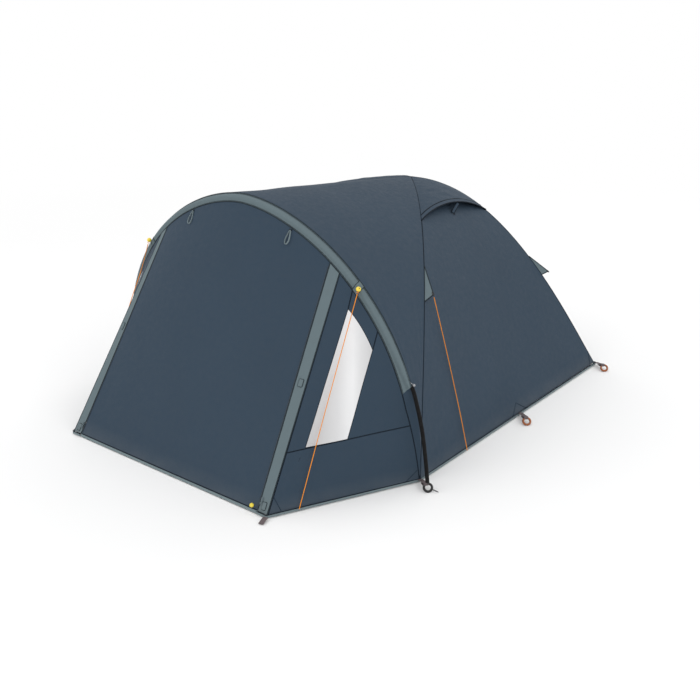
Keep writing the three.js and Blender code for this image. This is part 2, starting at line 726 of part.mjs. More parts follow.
piece('groundsheet_tub', groundsheet(), finish('tub', 0.7));
const innerDome = innerShell();
piece('inner_canopy', cut(innerDome, doorPrism(0)), finish('inner'));
piece('inner_door', common(innerDome, doorPrism(INNER_DOOR_GAP)), finish('inner'));

piece('fly_roof', sheet(roofSurface, ARCH_STEPS, ROOF_ROWS), finish('fly'));
pair('fly_side', sheet(sideSurface, 10, 12), 'fly');
piece('fly_rear', sheet(rearSurface, 12, 14), finish('fly'));
pair('vent_hood', sheet(hoodSurface, 12, 7), 'fly');
pair('vent_prop', ventProp(), 'fly', 0.5);

pair('porch_wall', cut(porchWall, windowPrism(0)), 'fly');
pair('window', pane, 'pane', 0.3);
pair('zip_cover', sheet(bandSurface, 1, 8), 'trim');
pair('zip_slider', sliderAt(SLIDER_HEIGHT), 'slider', 0.4);
piece('door_top', sheet(doorTopSurface, 20, 3), finish('fly'));
const liftedPanel = (u, v) => doorPanel(u, v, PANEL_BOTTOM, FOLD_HEIGHT - FOLD_GAP);
const liftedHem = (u, v) => doorPanel(u, v, HEM_BOTTOM, HEM_TOP);
piece('door_panel', sheet(liftedPanel, 14, 10), finish('fly'));
piece('door_hem', sheet(liftedHem, 14, 1, 3), finish('trim'));
piece('hem_tape', hemTape(), finish('trim'));

piece('pole_sleeve', sheet(sleeveSurface, ARCH_STEPS, 5, SLEEVE_THICKNESS), finish('trim'));
piece('pole_porch_top', rod(new PorchPoleTop(), POLE_RADIUS, 48), finish('pole', 0.35));
pair('pole_porch', rod(poleSide, POLE_RADIUS, 16), 'pole', 0.35);
piece('pole_dome_upper', rod(new DomePole(1, 0), POLE_RADIUS, 52), finish('pole', 0.35));
piece('pole_dome_lower', rod(new DomePole(-1, DOME_POLE_DROP), POLE_RADIUS, 52), finish('pole', 0.35));

pair('door_loop', hangingLoop(LOOP), 'trim');
ringSets();
piece('strap_porch_right', strap(...PORCH_STRAP, PORCH_STRAP_WIDTH), finish('web', 0.9));
pair('ground_pin', groundPin(), 'steel', 0.3, 0.9);
pair('guy_tab_front', plate(FRONT_TAB), 'trim');
pair('guy_tab_rear', plate(REAR_TAB), 'trim');

pair('guy_toggle', guyToggle(), 'toggle', 0.35);

for (const [name, route] of Object.entries(GUY_ROUTES)) piece(name, cord(route), finish('cord'));

export default tent;
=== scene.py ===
# A dome tent with a covered porch: its looks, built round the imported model.
# Metres, in the row frame: +Z up, -Y towards the porch door, +X to the tent's right.

import json
import math

import bmesh
import bpy
import numpy as np
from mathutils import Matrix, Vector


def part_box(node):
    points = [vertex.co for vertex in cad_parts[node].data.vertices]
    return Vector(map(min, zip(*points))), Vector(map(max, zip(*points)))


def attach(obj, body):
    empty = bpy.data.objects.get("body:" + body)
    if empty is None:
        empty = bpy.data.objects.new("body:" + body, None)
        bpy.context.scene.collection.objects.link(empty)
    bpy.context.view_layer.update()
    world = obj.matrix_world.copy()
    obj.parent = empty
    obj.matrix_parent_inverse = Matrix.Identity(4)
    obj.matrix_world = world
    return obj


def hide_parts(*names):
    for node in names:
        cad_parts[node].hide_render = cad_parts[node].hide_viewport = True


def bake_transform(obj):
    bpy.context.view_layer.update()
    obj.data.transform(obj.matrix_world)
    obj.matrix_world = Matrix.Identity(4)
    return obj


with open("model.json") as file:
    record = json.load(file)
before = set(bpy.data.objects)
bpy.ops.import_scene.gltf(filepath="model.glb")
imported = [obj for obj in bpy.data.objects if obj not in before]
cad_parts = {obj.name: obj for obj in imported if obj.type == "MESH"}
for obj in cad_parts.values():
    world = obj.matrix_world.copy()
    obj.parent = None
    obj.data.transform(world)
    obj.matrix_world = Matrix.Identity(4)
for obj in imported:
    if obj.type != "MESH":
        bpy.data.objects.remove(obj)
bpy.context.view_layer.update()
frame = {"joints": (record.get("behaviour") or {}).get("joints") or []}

# ---------- driving dimensions, from the frame ----------

HEM_LOW, HEM_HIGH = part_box("hem_tape")
SLEEVE_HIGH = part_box("pole_sleeve")[1]
HEM_HALF = 0.0015  # half the hem tape's thickness
FOOT_HALF = HEM_HIGH.x - HEM_HALF  # half width between the dome's front corners
REAR_HALF = FOOT_HALF - 0.012
PORCH_Y = HEM_LOW.y + HEM_HALF
REAR_Y = HEM_HIGH.y - HEM_HALF
FEET_Y = REAR_Y - 2.0  # the arch stands here, and the dome's front legs
APEX_Y = FEET_Y + 1.397
ARCH_HEIGHT = SLEEVE_HIGH.z - 0.0074
APEX_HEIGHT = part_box("fly_rear")[1].z - 0.0007
DOOR_HALF = 0.722
CENTRE = np.array([0.0, FEET_Y + 0.5, 0.2])  # every outer face looks away from here

ARCH_LEAN = -0.101
ARCH_POWERS = (2 / 1.775, 2 / 2.351)
ARCH_EASE = 0.3  # share of its height over which the sleeve's width comes in
FRONT_LEG = {"half": FOOT_HALF, "y": FEET_Y, "plan": 2.241, "rise": 1.939, "bow": -0.03}
REAR_LEG = {"half": REAR_HALF, "y": REAR_Y, "plan": 1.991, "rise": 0.929, "bow": 0.016}
SLEEVE_FRONT = {"fore": -0.002, "inset": 0.035}
SLEEVE_REAR = {"fore": 0.033, "inset": -0.005}
SLEEVE_END_TURN = 0.306  # arch angle at which the sleeve stops, at its front edge
SLEEVE_SKEW = 0.024  # how much sooner it stops at its rear edge
SLEEVE_LIFT = 0.0016
SLEEVE_RISE = 0.0135
TUNNEL_WIDTH = 0.72  # share of the sleeve that stands up over the pole
TUNNEL_END_SHIFT = 0.4  # how far the pole moves towards the rear edge at the sleeve's ends
TUNNEL_END_REACH = 0.09  # the arch angle over which it does so
POLE_LIFT = 0.00725
POLE_RADIUS = 0.00425
POLE_JOINT_TURN = 0.62
POLE_UNDER_TURNS = (0.616, 0.54, 0.46, 0.395, 0.355)  # below that joint, inside the sleeve
POLE_EXIT_TURN = 0.326  # where it comes out at the sleeve's rear edge
POLE_COVER_RADIUS = 0.0098
POLE_END_ROUTE = (  # below the sleeve, in metres back from the arch's feet
    (1.0605, -0.03, 0.432), (1.101, -0.038, 0.309), (1.131, -0.047, 0.178),
    (1.154, -0.058, 0.061), (1.157, -0.06, 0.044))

HEM_BOTTOM, PANEL_BOTTOM = 0.004, 0.016  # the cloth is sewn into the hem tape
DOOR_SHARE = 0.9985  # share of the doorway that the door fills
BAND_FOOT_INNER = 0.66
BAND_TOP_INNER = 0.577
BAND_TOP_OUTER = 0.634
SIDE_SAG = 0.04
VENT_EDGE_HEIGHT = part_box("fly_side_right")[1].z
HOOD = {"front": 0.436, "rear": 0.387, "rise": 0.071, "tuck": -0.021, "round": 0.93, "clear": 0.004}
HOOD_STITCH = 0.927  # share of the hood's reach at which its stitch line runs
WINDOWS = {  # each corner's height and share of the wall
    "right": ((0.859, 0.525), (0.676, 0.802), (0.282, 0.474), (0.273, 0.143)),
    "left": ((0.79, 0.6), (0.66, 0.802), (0.282, 0.474), (0.273, 0.143)),
}
WINDOW_BOW = (0.005, 0.003, 0.009)  # its top follows the arch
WINDOW_LEVEL = 0.76  # where the cloth round its upper rear corner meets the arch

BALL_X = 0.745  # the guy lines' balls, out from the middle
PULL_BALL_PLACE = (0.966, 0.028)  # share of the door's half width and of its height
PULL_BALL_RADIUS = 0.0105
ZIP_TAB_PLACES = (0.026, 0.523)  # shares of the way up the zip
PULL_BALL_OUT = np.array([0, -0.86, 0.51]) * 0.027  # clear of the door when the zip is up

INNER_PLAN = 0.93
INNER_RISE = 0.94
INNER_MIDDLE_Y = FEET_Y + 1.02
TUB_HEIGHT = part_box("groundsheet_tub")[1].z
INNER_LOW = TUB_HEIGHT - 0.004  # the inner walls' lower and upper ends
INNER_TOP = APEX_HEIGHT * INNER_RISE - 0.001
INNER_DOOR = {"bottom": 0.131, "top": 0.797, "foot": 0.537, "head": 0.377}

CLOTH = 0.0012  # thickness of the coated cloth as it is drawn

# ---------- vectors ----------


def unit(vectors):
    length = np.linalg.norm(vectors, axis=-1, keepdims=True)
    return vectors / np.maximum(length, 1e-12)


def stack(x, y, z):
    return np.stack(np.broadcast_arrays(x, y, z), axis=-1).astype(float)


def mix(a, b, share):
    return a + (b - a) * np.asarray(share, float)[..., None]


def between(a, b, share, gap=0.0):
    """Between two rows of points, with a gap left at each end."""
    length = np.maximum(np.linalg.norm(b - a, axis=-1), 1e-9)
    start = np.minimum(gap / length, 0.5)
    return mix(a, b, start + np.asarray(share) * (1 - 2 * start))


def around(centre, radius, side, third, count):
    """Points round a circle, from the first direction towards the second."""
    angle = (np.arange(count) * 2 * math.pi / count)[:, None]
    return centre + radius * (np.cos(angle) * side + np.sin(angle) * third)


def run_along(points):
    """How far each point lies along a line of points."""
    return np.concatenate([[0], np.cumsum(np.linalg.norm(np.diff(points, axis=0), axis=1))])


def from_feet(x, y, z):
    """A place whose y is in metres back from the arch's feet."""
    return np.array([x, FEET_Y + y, z])


def middle_of(node):
    low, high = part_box(node)
    return (np.array(low) + np.array(high)) / 2


def joint_place(name):
    return np.array(next(j for j in frame["joints"] if j["name"] == name)["pos_m"])


# ---------- lines of the tent ----------


def arch(turn, fore=0.0, inset=0.0):
    """The porch arch: turn 0 is the right foot, pi / 2 the top, pi the left foot."""
    c, s = np.cos(turn), np.maximum(np.sin(turn), 0)
    x = FOOT_HALF * np.sign(c) * np.abs(c) ** ARCH_POWERS[0]
    z = ARCH_HEIGHT * s ** ARCH_POWERS[1]
    outward = unit(stack(x / FOOT_HALF**2, 0, z / ARCH_HEIGHT**2))
    share = np.minimum(1, z / (ARCH_EASE * ARCH_HEIGHT))
    points = stack(x, FEET_Y + ARCH_LEAN * z / ARCH_HEIGHT + fore * share, z)
    return points - outward * (inset * share)[..., None]


EDGE = arch(np.linspace(0, math.pi, 6001), **SLEEVE_FRONT)  # the sleeve's front edge
RIGHT_EDGE = EDGE[:3001]


def edge_at_x(x):
    return stack(*(np.interp(-np.asarray(x), -EDGE[:, 0], EDGE[:, i]) for i in range(3)))


def edge_at_height(z):
    return stack(*(np.interp(z, RIGHT_EDGE[:, 2], RIGHT_EDGE[:, i]) for i in range(3)))


def leg_point(leg, side, reach):
    """A dome pole's line, by its share of the way from the apex (0) to a corner (1)."""
    run_x, run_y = leg["half"] * side, leg["y"] - APEX_Y
    length = np.hypot(run_x, run_y)
    bow = 4 * reach * (1 - reach) * leg["bow"] * side / length
    z = APEX_HEIGHT * np.maximum(1 - reach ** leg["plan"], 0) ** (1 / leg["rise"])
    return stack(run_x * reach + run_y * bow, APEX_Y + run_y * reach - run_x * bow, z)


def reach_at(leg, z):
    """The share of the way down a dome pole's line at which it is that high."""
    share = np.clip(np.asarray(z, float) / APEX_HEIGHT, 0, 1)
    return np.maximum(1 - share ** leg["rise"], 0) ** (1 / leg["plan"])


def leg_at_height(leg, side, z):
    return leg_point(leg, side, reach_at(leg, z))


# ---------- surfaces, by u and v from 0 to 1 ----------


def roof_surface(u, v):
    """From the sleeve's front edge, under it, and back to the front legs."""
    start = 0.009
    turn = start + u * (math.pi - 2 * start)
    front, rear = arch(turn, **SLEEVE_FRONT), arch(turn, **SLEEVE_REAR)
    height = APEX_HEIGHT * np.sin(turn) ** ARCH_POWERS[1]
    right, left = (leg_at_height(FRONT_LEG, side, height) for side in (1, -1))
    leg = np.where((turn < math.pi / 2)[..., None], right, left)
    kink = 0.06
    under = mix(front, rear, 0.04 + 0.96 * np.minimum(v / kink, 1))
    back = mix(rear, leg, np.clip((v - kink) / (1 - kink), 0, 1))
    return np.where((v < kink)[..., None], under, back)


def side_point(z, share):
    point = between(leg_at_height(FRONT_LEG, 1, z), leg_at_height(REAR_LEG, 1, z), share)
    sag = SIDE_SAG * np.sin(math.pi * share) * np.sin(math.pi * np.minimum(z, 1))
    return point + sag[..., None] * np.array([-0.9, 0, -0.44])


def side_surface(u, v):
    rise = np.sin(v * 1.25) / math.sin(1.25)
    return side_point(PANEL_BOTTOM + rise * (VENT_EDGE_HEIGHT - PANEL_BOTTOM), u)


def rear_surface(u, v):
    reach = reach_at(REAR_LEG, PANEL_BOTTOM) * (1 - v)
    return between(leg_point(REAR_LEG, 1, reach), leg_point(REAR_LEG, -1, reach), u)


def hood_surface(u, v):
    share = 0.03 + 0.97 * v
    front = leg_point(FRONT_LEG, 1, HOOD["front"] * share)
    rear = leg_point(REAR_LEG, 1, HOOD["rear"] * share)
    bulge = np.maximum(4 * u * (1 - u), 0) ** HOOD["round"] * share**2
    lift = stack(HOOD["tuck"] * bulge, 0, HOOD["rise"] * bulge + HOOD["clear"] * share)
    return between(front, rear, u, 0.002) + lift


def vent_surface(u, v):
    """Netting that closes the top of a side panel, under its hood."""
    z = VENT_EDGE_HEIGHT - 0.004 + v * (APEX_HEIGHT - VENT_EDGE_HEIGHT - 0.004)
    point = side_point(z, 0.02 + 0.96 * u)
    return point - stack(0, 0, 0.004 + 0 * z)


def door_point(x, z):
    """x is a share of the half width, z a share of the way up."""
    foot = stack(x * BAND_FOOT_INNER, PORCH_Y, 0)
    return mix(foot, edge_at_x(x * BAND_TOP_INNER), z)


def door_surface(u, v):
    x = (2 * u - 1) * DOOR_SHARE
    low = PANEL_BOTTOM / edge_at_x(x * BAND_TOP_INNER)[..., 2]
    return door_point(x, low + v * (0.9995 - low))


def door_hem_surface(u, v):
    x = (2 * u - 1) * DOOR_SHARE
    z = HEM_BOTTOM + v * (PANEL_BOTTOM - HEM_BOTTOM)
    return door_point(x, z / edge_at_x(x * BAND_TOP_INNER)[..., 2])


BAND_INNER_TOP = edge_at_x(BAND_TOP_INNER)
BAND_OUTER_TOP = edge_at_x(BAND_TOP_OUTER)
BAND_INNER_FOOT = np.array([BAND_FOOT_INNER, PORCH_Y, 0])
PORCH_CORNER = np.array([DOOR_HALF, PORCH_Y, 0])


def band_surface(u, v):
    low = PANEL_BOTTOM / BAND_INNER_TOP[2]
    rise = low + v * (0.997 - low)
    inner = mix(BAND_INNER_FOOT, BAND_INNER_TOP, rise)
    return mix(inner, mix(PORCH_CORNER, BAND_OUTER_TOP, rise), u)


def wall_point(z, share):
    front = mix(PORCH_CORNER, BAND_OUTER_TOP, np.asarray(z) / BAND_OUTER_TOP[2])
    return mix(front, edge_at_height(z), share)


WALL_TOP = BAND_OUTER_TOP[2] - 0.003


def sleeve_frame(turn):
    front, rear = arch(turn, **SLEEVE_FRONT), arch(turn, **SLEEVE_REAR)
    tangent = arch(turn + 1e-3) - arch(turn - 1e-3)
    outward = unit(np.cross(rear - front, tangent))
    outward = np.where((outward[..., 2] < 0)[..., None], -outward, outward)
    return front, rear, outward


def tunnel_middle(turn):
    """The pole lies in the middle of the sleeve, and near its rear edge at the two ends."""
    end = np.minimum(turn, math.pi - turn) - SLEEVE_END_TURN
    return 0.5 + TUNNEL_END_SHIFT * np.exp(-np.maximum(end, 0) / TUNNEL_END_REACH)


def sleeve_surface(u, v):
    """Flat flanges at the two edges, and a tunnel over the pole between them."""
    end = SLEEVE_END_TURN + SLEEVE_SKEW * v
    turn = end + u * (math.pi - 2 * end)
    front, rear, outward = sleeve_frame(turn)
    across = np.clip((v - tunnel_middle(turn)) / TUNNEL_WIDTH + 0.5, 0, 1)
    tunnel = np.sin(math.pi * across) ** 1.2
    gather = 0.0006 * np.sin(turn * 420) * np.sin(math.pi * v) ** 2
    return mix(front, rear, v) + outward * (SLEEVE_LIFT + SLEEVE_RISE * tunnel + gather)[..., None]


def porch_pole_point(turn):
    front, rear, outward = sleeve_frame(turn)
    return mix(front, rear, tunnel_middle(turn)) + outward * POLE_LIFT


def inner_wall(first, second, side_a, side_b):
    """A wall of the inner tent between two of its corner lines, by share across and height."""

    def surface(u, z):
        a = leg_at_height(first, side_a, z / INNER_RISE)
        b = leg_at_height(second, side_b, z / INNER_RISE)
        point = mix(a, b, u)
        y = INNER_MIDDLE_Y + (point[..., 1] - INNER_MIDDLE_Y) * INNER_PLAN
        return stack(point[..., 0] * INNER_PLAN, y, z)

    return surface


# ---------- relief of the cloth ----------


def raised(height):
    """An even relief, for a patch that lies on other cloth."""
    return lambda u, v, points: height + 0 * u


def ripples(a, b, length, seed, waves=7):
    """Soft uneven waves of roughly that length, from about -1 to 1."""
    chance = np.random.default_rng(seed)
    total = np.zeros(np.broadcast(a, b).shape)
    for _ in range(waves):
        way, phase = chance.uniform(0, 2 * math.pi, 2)
        size = 2 * math.pi / (length * chance.uniform(0.7, 1.5))
        total += np.sin((a * math.cos(way) + b * math.sin(way)) * size + phase)
    return total / math.sqrt(waves)


def inside(u, v, power=0.6):
    """1 in the middle of a panel and 0 on its seams."""
    both = np.sin(math.pi * np.clip(u, 0, 1)) * np.sin(math.pi * np.clip(v, 0, 1))
    return np.maximum(both, 0) ** power


def pulled(u, v, corners, folds=14):
    """Folds that run out from a panel's pegged corners."""
    total = np.zeros_like(u)
    for k, (cu, cv) in enumerate(corners):
        away = np.hypot(u - cu, v - cv)
        angle = np.arctan2(v - cv, u - cu)
        total += np.sin(angle * folds + k) * np.exp(-away * 5) * np.minimum(away * 8, 1)
    return total


def cloth_relief(depth, length, seed, corners=(), pull=0.0):
    def relief(u, v, points):
        a, b = points[..., 0] + points[..., 1], points[..., 2] * 1.3 - points[..., 1]
        waves = depth * ripples(a, b, length, seed) * inside(u, v)
        return waves + pull * pulled(u, v, corners) * inside(u, v, 0.3)

    return relief


def foot_folds(u, v, depth):
    """Folds from a porch panel's two lower corners."""
    return depth * pulled(u, v, ((0, 0), (1, 0))) * inside(u, v, 0.3)


# ---------- shells: vertices, faces and a flat position in metres for each vertex ----------


def away_from_centre(points, normals):
    facing = ((points - CENTRE) * normals).sum(-1)
    return -1.0 if np.median(facing) < 0 else 1.0


def grid_faces(rows, columns, closed=False):
    last = columns if closed else columns - 1
    i, j = np.meshgrid(np.arange(rows - 1), np.arange(last), indexing="ij")
    k = (j + 1) % columns
    quads = (i * columns + j, (i + 1) * columns + j, (i + 1) * columns + k, i * columns + k)
    return np.stack(quads, -1).reshape(-1, 4)


def flat_lengths(points):
    """How far each grid point lies along the cloth, both ways."""
    out = []
    for axis in (0, 1):
        step = np.linalg.norm(np.diff(points, axis=axis), axis=-1).mean(1 - axis)
        run = np.concatenate([[0], np.cumsum(step)])
        out.append(np.broadcast_to(run[:, None] if axis == 0 else run, points.shape[:2]))
    return np.stack(out, -1)


def skin(points, thickness=CLOTH, relief=None, u=None, v=None):
    """A thin closed shell on a grid of points; a relief moves it outwards."""
    along, across = np.gradient(points, axis=0), np.gradient(points, axis=1)
    normals = unit(np.cross(along, across))
    normals = normals * away_from_centre(points, normals)
    outer = points if relief is None else points + normals * relief(u, v, points)[..., None]
    outer = outer + normals * thickness / 2
    inner = outer - normals * thickness
    rows, columns = points.shape[:2]
    count = rows * columns
    faces = grid_faces(rows, columns)
    at = np.arange(count).reshape(rows, columns)
    ring = np.concatenate([at[:, 0], at[-1, 1:], at[-2::-1, -1], at[0, -2:0:-1]])
    after = np.roll(ring, -1)
    rim = np.stack([ring, after, after + count, ring + count], -1)
    vertices = np.concatenate([outer.reshape(-1, 3), inner.reshape(-1, 3)])
    uv = np.concatenate([flat_lengths(points).reshape(-1, 2)] * 2)
    return {"v": vertices, "f": [faces, faces[:, ::-1] + count, rim], "uv": uv}


def sheet(surface, across, along, thickness=CLOTH, relief=None, span=((0, 1), (0, 1))):
    lines = np.linspace(*span[0], across + 1), np.linspace(*span[1], along + 1)
    u, v = np.meshgrid(*lines, indexing="ij")
    return skin(surface(u, v), thickness, relief, u, v)


def merged(*shells):
    start, vertices, faces, uv = 0, [], [], []
    for shell in shells:
        vertices.append(shell["v"])
        faces += [part + start for part in shell["f"]]
        uv.append(shell["uv"])
        start += len(shell["v"])
    return {"v": np.concatenate(vertices), "f": faces, "uv": np.concatenate(uv)}


def mirrored(shell):
    return {**shell, "v": shell["v"] * np.array([-1, 1, 1])}


def sweep(line, profile, normals=None, closed=False):
    """A profile, (sideways, outward) points, drawn along a line; normals say which way is outward."""
    line, profile = np.asarray(line, float), np.asarray(profile, float)
    ahead = np.roll(line, -1, axis=0) - np.roll(line, 1, axis=0)
    if not closed:
        ahead[0], ahead[-1] = line[1] - line[0], line[-1] - line[-2]
    ahead = unit(ahead)
    if normals is None:
        normals = [unit(np.cross(ahead[0], [0.31, 0.17, 0.93]))]
        for way in ahead[1:]:
            normals.append(unit(normals[-1] - way * (normals[-1] @ way)))
    outward = np.broadcast_to(np.asarray(normals, float), line.shape)
    outward = unit(outward - ahead * (outward * ahead).sum(-1, keepdims=True))
    sideways = np.cross(ahead, outward)
    rings = line[:, None] + sideways[:, None] * profile[:, :1] + outward[:, None] * profile[:, 1:]
    count = len(profile)
    uv = np.broadcast_arrays(run_along(line)[:, None], run_along(profile)[None])
    shell = {"v": rings.reshape(-1, 3), "uv": np.stack(uv, -1).reshape(-1, 2)}
    if closed:
        faces = grid_faces(len(line) + 1, count, closed=True) % (len(line) * count)
        return {**shell, "f": [faces]}
    ends = [np.arange(count)[None], np.arange(count)[None, ::-1] + (len(line) - 1) * count]
    return {**shell, "f": [grid_faces(len(line), count, closed=True), *ends]}


def circle(radius, sides):
    return around(0, radius, [1, 0], [0, 1], sides)


def hoop(centre, radius, side, third, wire, sides, wire_sides):
    """A closed ring of round wire."""
    return sweep(around(centre, radius, side, third, sides), circle(wire, wire_sides), closed=True)


def flat_tape(width, thickness, lift=0.0):
    """A tape's section, with its two edges rounded a little."""
    w, t = width / 2, thickness
    edge = min(t * 0.4, w * 0.4)
    points = [(-w, t * 0.3), (-w + edge, t), (w - edge, t), (w, t * 0.3), (w - edge, 0), (-w + edge, 0)]
    return [(x, y + lift) for x, y in points]


def lathe(profile, centre, axis, sides=24):
    """A closed profile of (radius, height) points, turned round an axis."""
    axis = unit(np.asarray(axis, float))
    side = unit(np.cross(axis, [0.3, 0.9, 0.2]))
    profile = np.asarray(profile, float)
    spoke = around(0, 1, side, np.cross(axis, side), sides)
    rings = np.asarray(centre) + spoke[:, None] * profile[None, :, :1] + axis * profile[None, :, 1:]
    faces = grid_faces(sides + 1, len(profile), closed=True) % (sides * len(profile))
    angle = np.arange(sides)[:, None] * 2 * math.pi / sides
    uv = np.stack(np.broadcast_arrays(angle * profile[:, 0].max(), profile[None, :, 1]), -1)
    return {"v": rings.reshape(-1, 3), "f": [faces], "uv": uv.reshape(-1, 2)}


def block(centre, right, up, outward, size, corner=0.0):
    """A rounded-rectangle plate: size is (width, height, depth)."""
    right, up, outward = (unit(np.asarray(way, float)) for way in (right, up, outward))
    w, h, d = (length / 2 for length in size)
    corner = min(corner, w * 0.95, h * 0.95)
    outline = []
    for k, (sx, sy) in enumerate(((1, 1), (-1, 1), (-1, -1), (1, -1))):
        for angle in (k + np.arange(5) / 4) * math.pi / 2:
            x = sx * (w - corner) + corner * math.cos(angle)
            outline.append((x, sy * (h - corner) + corner * math.sin(angle)))
    outline = np.array(outline)
    small = outline * (1 - 0.35 * min(d, w) / np.array([w, h]))
    layers = [(small, -d), (outline, -d * 0.5), (outline, d * 0.5), (small, d)]
    rings = [np.asarray(centre) + o[:, :1] * right + o[:, 1:] * up + z * outward for o, z in layers]
    count = len(outline)
    ends = [np.arange(count)[None], np.arange(count)[None, ::-1] + 3 * count]
    uv = np.tile(outline, (4, 1))
    return {"v": np.concatenate(rings), "f": [grid_faces(4, count, closed=True), *ends], "uv": uv}


# ---------- pieces ----------

SHARP_ANGLE = math.radians(50)  # edges that turn by more than this are drawn sharp


def make(name, shell, material, body="tent", replaces=(), slot=None):
    mesh = bpy.data.meshes.new(name)
    faces = [face for part in shell["f"] for face in part.tolist()]
    mesh.from_pydata(shell["v"].tolist(), [], faces)
    layer = mesh.uv_layers.new(name="flat")
    at = np.zeros(len(mesh.loops), np.int32)
    mesh.loops.foreach_get("vertex_index", at)
    layer.data.foreach_set("uv", shell["uv"][at].astype(np.float32).ravel())
    work = bmesh.new()
    work.from_mesh(mesh)
    bmesh.ops.remove_doubles(work, verts=work.verts, dist=1e-6)
    bmesh.ops.dissolve_degenerate(work, edges=work.edges, dist=1e-7)
    bmesh.ops.recalc_face_normals(work, faces=work.faces)
    work.to_mesh(mesh)
    work.free()
    mesh.polygons.foreach_set("use_smooth", [True] * len(mesh.polygons))
    mesh.set_sharp_from_angle(angle=SHARP_ANGLE)
    mesh.materials.append(material)
    piece = bpy.data.objects.new(name, mesh)
    bpy.context.scene.collection.objects.link(piece)
    if body:
        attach(piece, body)
    if replaces:
        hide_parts(*replaces)
    return piece


def pair(name, shell, material, body="tent", replaces=(), slot=None):
    """A right-hand piece and its mirror image. A body or a node name ending in _ gets the side's name."""
    made = []
    for side, part in (("right", shell), ("left", mirrored(shell))):
        on = body + side if body.endswith("_") else body
        gone = [node + side if node.endswith("_") else node for node in replaces]
        made.append(make(f"{name}_{side}", part, material, on, gone, slot))
    return made


def panel_flat(surface):
    """The greatest width and height of a panel, measured along it."""
    line, places = np.linspace(0, 1, 200), np.linspace(0, 1, 9)
    wide = max(run_along(surface(line, 0 * line + place))[-1] for place in places)
    tall = max(run_along(surface(0 * line + place, line))[-1] for place in places)
    return float(wide), float(tall)


def as_cloth(*pieces, flat=None):
    """Works out the flat size that each sheet's own grid has, or takes the one given, and its faces' areas;
    neither is kept.
    """
    for piece in pieces:
        mesh = piece.data
        uv = np.zeros(len(mesh.loops) * 2, np.float32)
        mesh.uv_layers["flat"].data.foreach_get("uv", uv)
        size = flat or np.ptp(uv.reshape(-1, 2), axis=0)
        size = [round(float(length), 3) for length in size]
        areas = np.zeros(len(mesh.polygons), np.float32)
        mesh.polygons.foreach_get("area", areas)


# ---------- materials ----------


def linear(r, g, b):
    """Linear colour from an 8-bit screen colour."""
    out = []
    for value in (r, g, b):
        share = value / 255
        out.append(share / 12.92 if share <= 0.04045 else ((share + 0.055) / 1.055) ** 2.4)
    return (*out, 1.0)


class Surface:
    """A material's node tree, with short names for the few nodes that it needs."""

    def __init__(self, name, roughness=0.7, metallic=0.0, **sockets):
        self.material = bpy.data.materials.new(name)
        self.material.use_nodes = True
        self.nodes = self.material.node_tree.nodes
        self.links = self.material.node_tree.links
        self.shader = self.nodes["Principled BSDF"]
        self.shader.inputs["Roughness"].default_value = roughness
        self.shader.inputs["Metallic"].default_value = metallic
        for socket, value in sockets.items():
            self.shader.inputs[socket.replace("_", " ")].default_value = value
        self.flat = self.node("ShaderNodeUVMap", uv_map="flat").outputs["UV"]
        self.place = self.node("ShaderNodeTexCoord").outputs["Object"]

    def node(self, kind, **settings):
        made = self.nodes.new(kind)
        for key, value in settings.items():
            setattr(made, key, value)
        return made

    def fill(self, socket, value):
        if isinstance(value, bpy.types.NodeSocket):
            self.links.new(value, socket)
        else:
            socket.default_value = value

    def math(self, operation, *values):
        made = self.node("ShaderNodeMath", operation=operation)
        for socket, value in zip(made.inputs, values):
            self.fill(socket, value)
        return made.outputs[0]

    def noise(self, scale, detail=3.0):
        made = self.node("ShaderNodeTexNoise")
        made.inputs["Scale"].default_value = scale
        made.inputs["Detail"].default_value = detail
        self.links.new(self.place, made.inputs["Vector"])
        return made.outputs["Fac"]

    def split(self, vector):
        made = self.node("ShaderNodeSeparateXYZ")
        self.links.new(vector, made.inputs[0])
        return made.outputs

    def remap(self, value, low, high, to_low, to_high):
        made = self.node("ShaderNodeMapRange")
        for socket, amount in zip(made.inputs[:5], (value, low, high, to_low, to_high)):
            self.fill(socket, amount)
        return made.outputs[0]

    def blend(self, share, a, b):
        made = self.node("ShaderNodeMix", data_type="RGBA")
        self.fill(made.inputs["Factor"], share)
        self.fill(made.inputs[6], a)
        self.fill(made.inputs[7], b)
        return made.outputs[2]

    def weave(self, warp, weft):
        """Threads of two widths that cross, from -1 to 1."""
        u, v, _ = self.split(self.flat)
        threads = [self.math("SINE", self.math("MULTIPLY", axis, 2 * math.pi / width))
                   for axis, width in ((u, warp), (v, weft))]
        return self.math("MULTIPLY", *threads)

    def mottled(self, colour, low, high, scale, detail=3.0):
        """The colour, darkened and lightened in cloudy patches."""
        return self.blend(self.noise(scale, detail), shaded(colour, low), shaded(colour, high))

    def colour(self, value):
        self.fill(self.shader.inputs["Base Color"], value)

    def rough(self, noise, low, high):
        """Roughness that follows a noise."""
        self.fill(self.shader.inputs["Roughness"], self.remap(noise, 0.3, 0.7, low, high))

    def bump(self, *heights):
        """Each height is (socket, distance in metres, strength); they add up."""
        last = None
        for height, distance, strength in heights:
            made = self.node("ShaderNodeBump")
            made.inputs["Distance"].default_value = distance
            made.inputs["Strength"].default_value = strength
            self.links.new(height, made.inputs["Height"])
            if last is not None:
                self.links.new(last, made.inputs["Normal"])
            last = made.outputs["Normal"]
        self.links.new(last, self.shader.inputs["Normal"])


def shaded(colour, share):
    return (*(min(c * share, 1.0) for c in colour[:3]), 1.0)


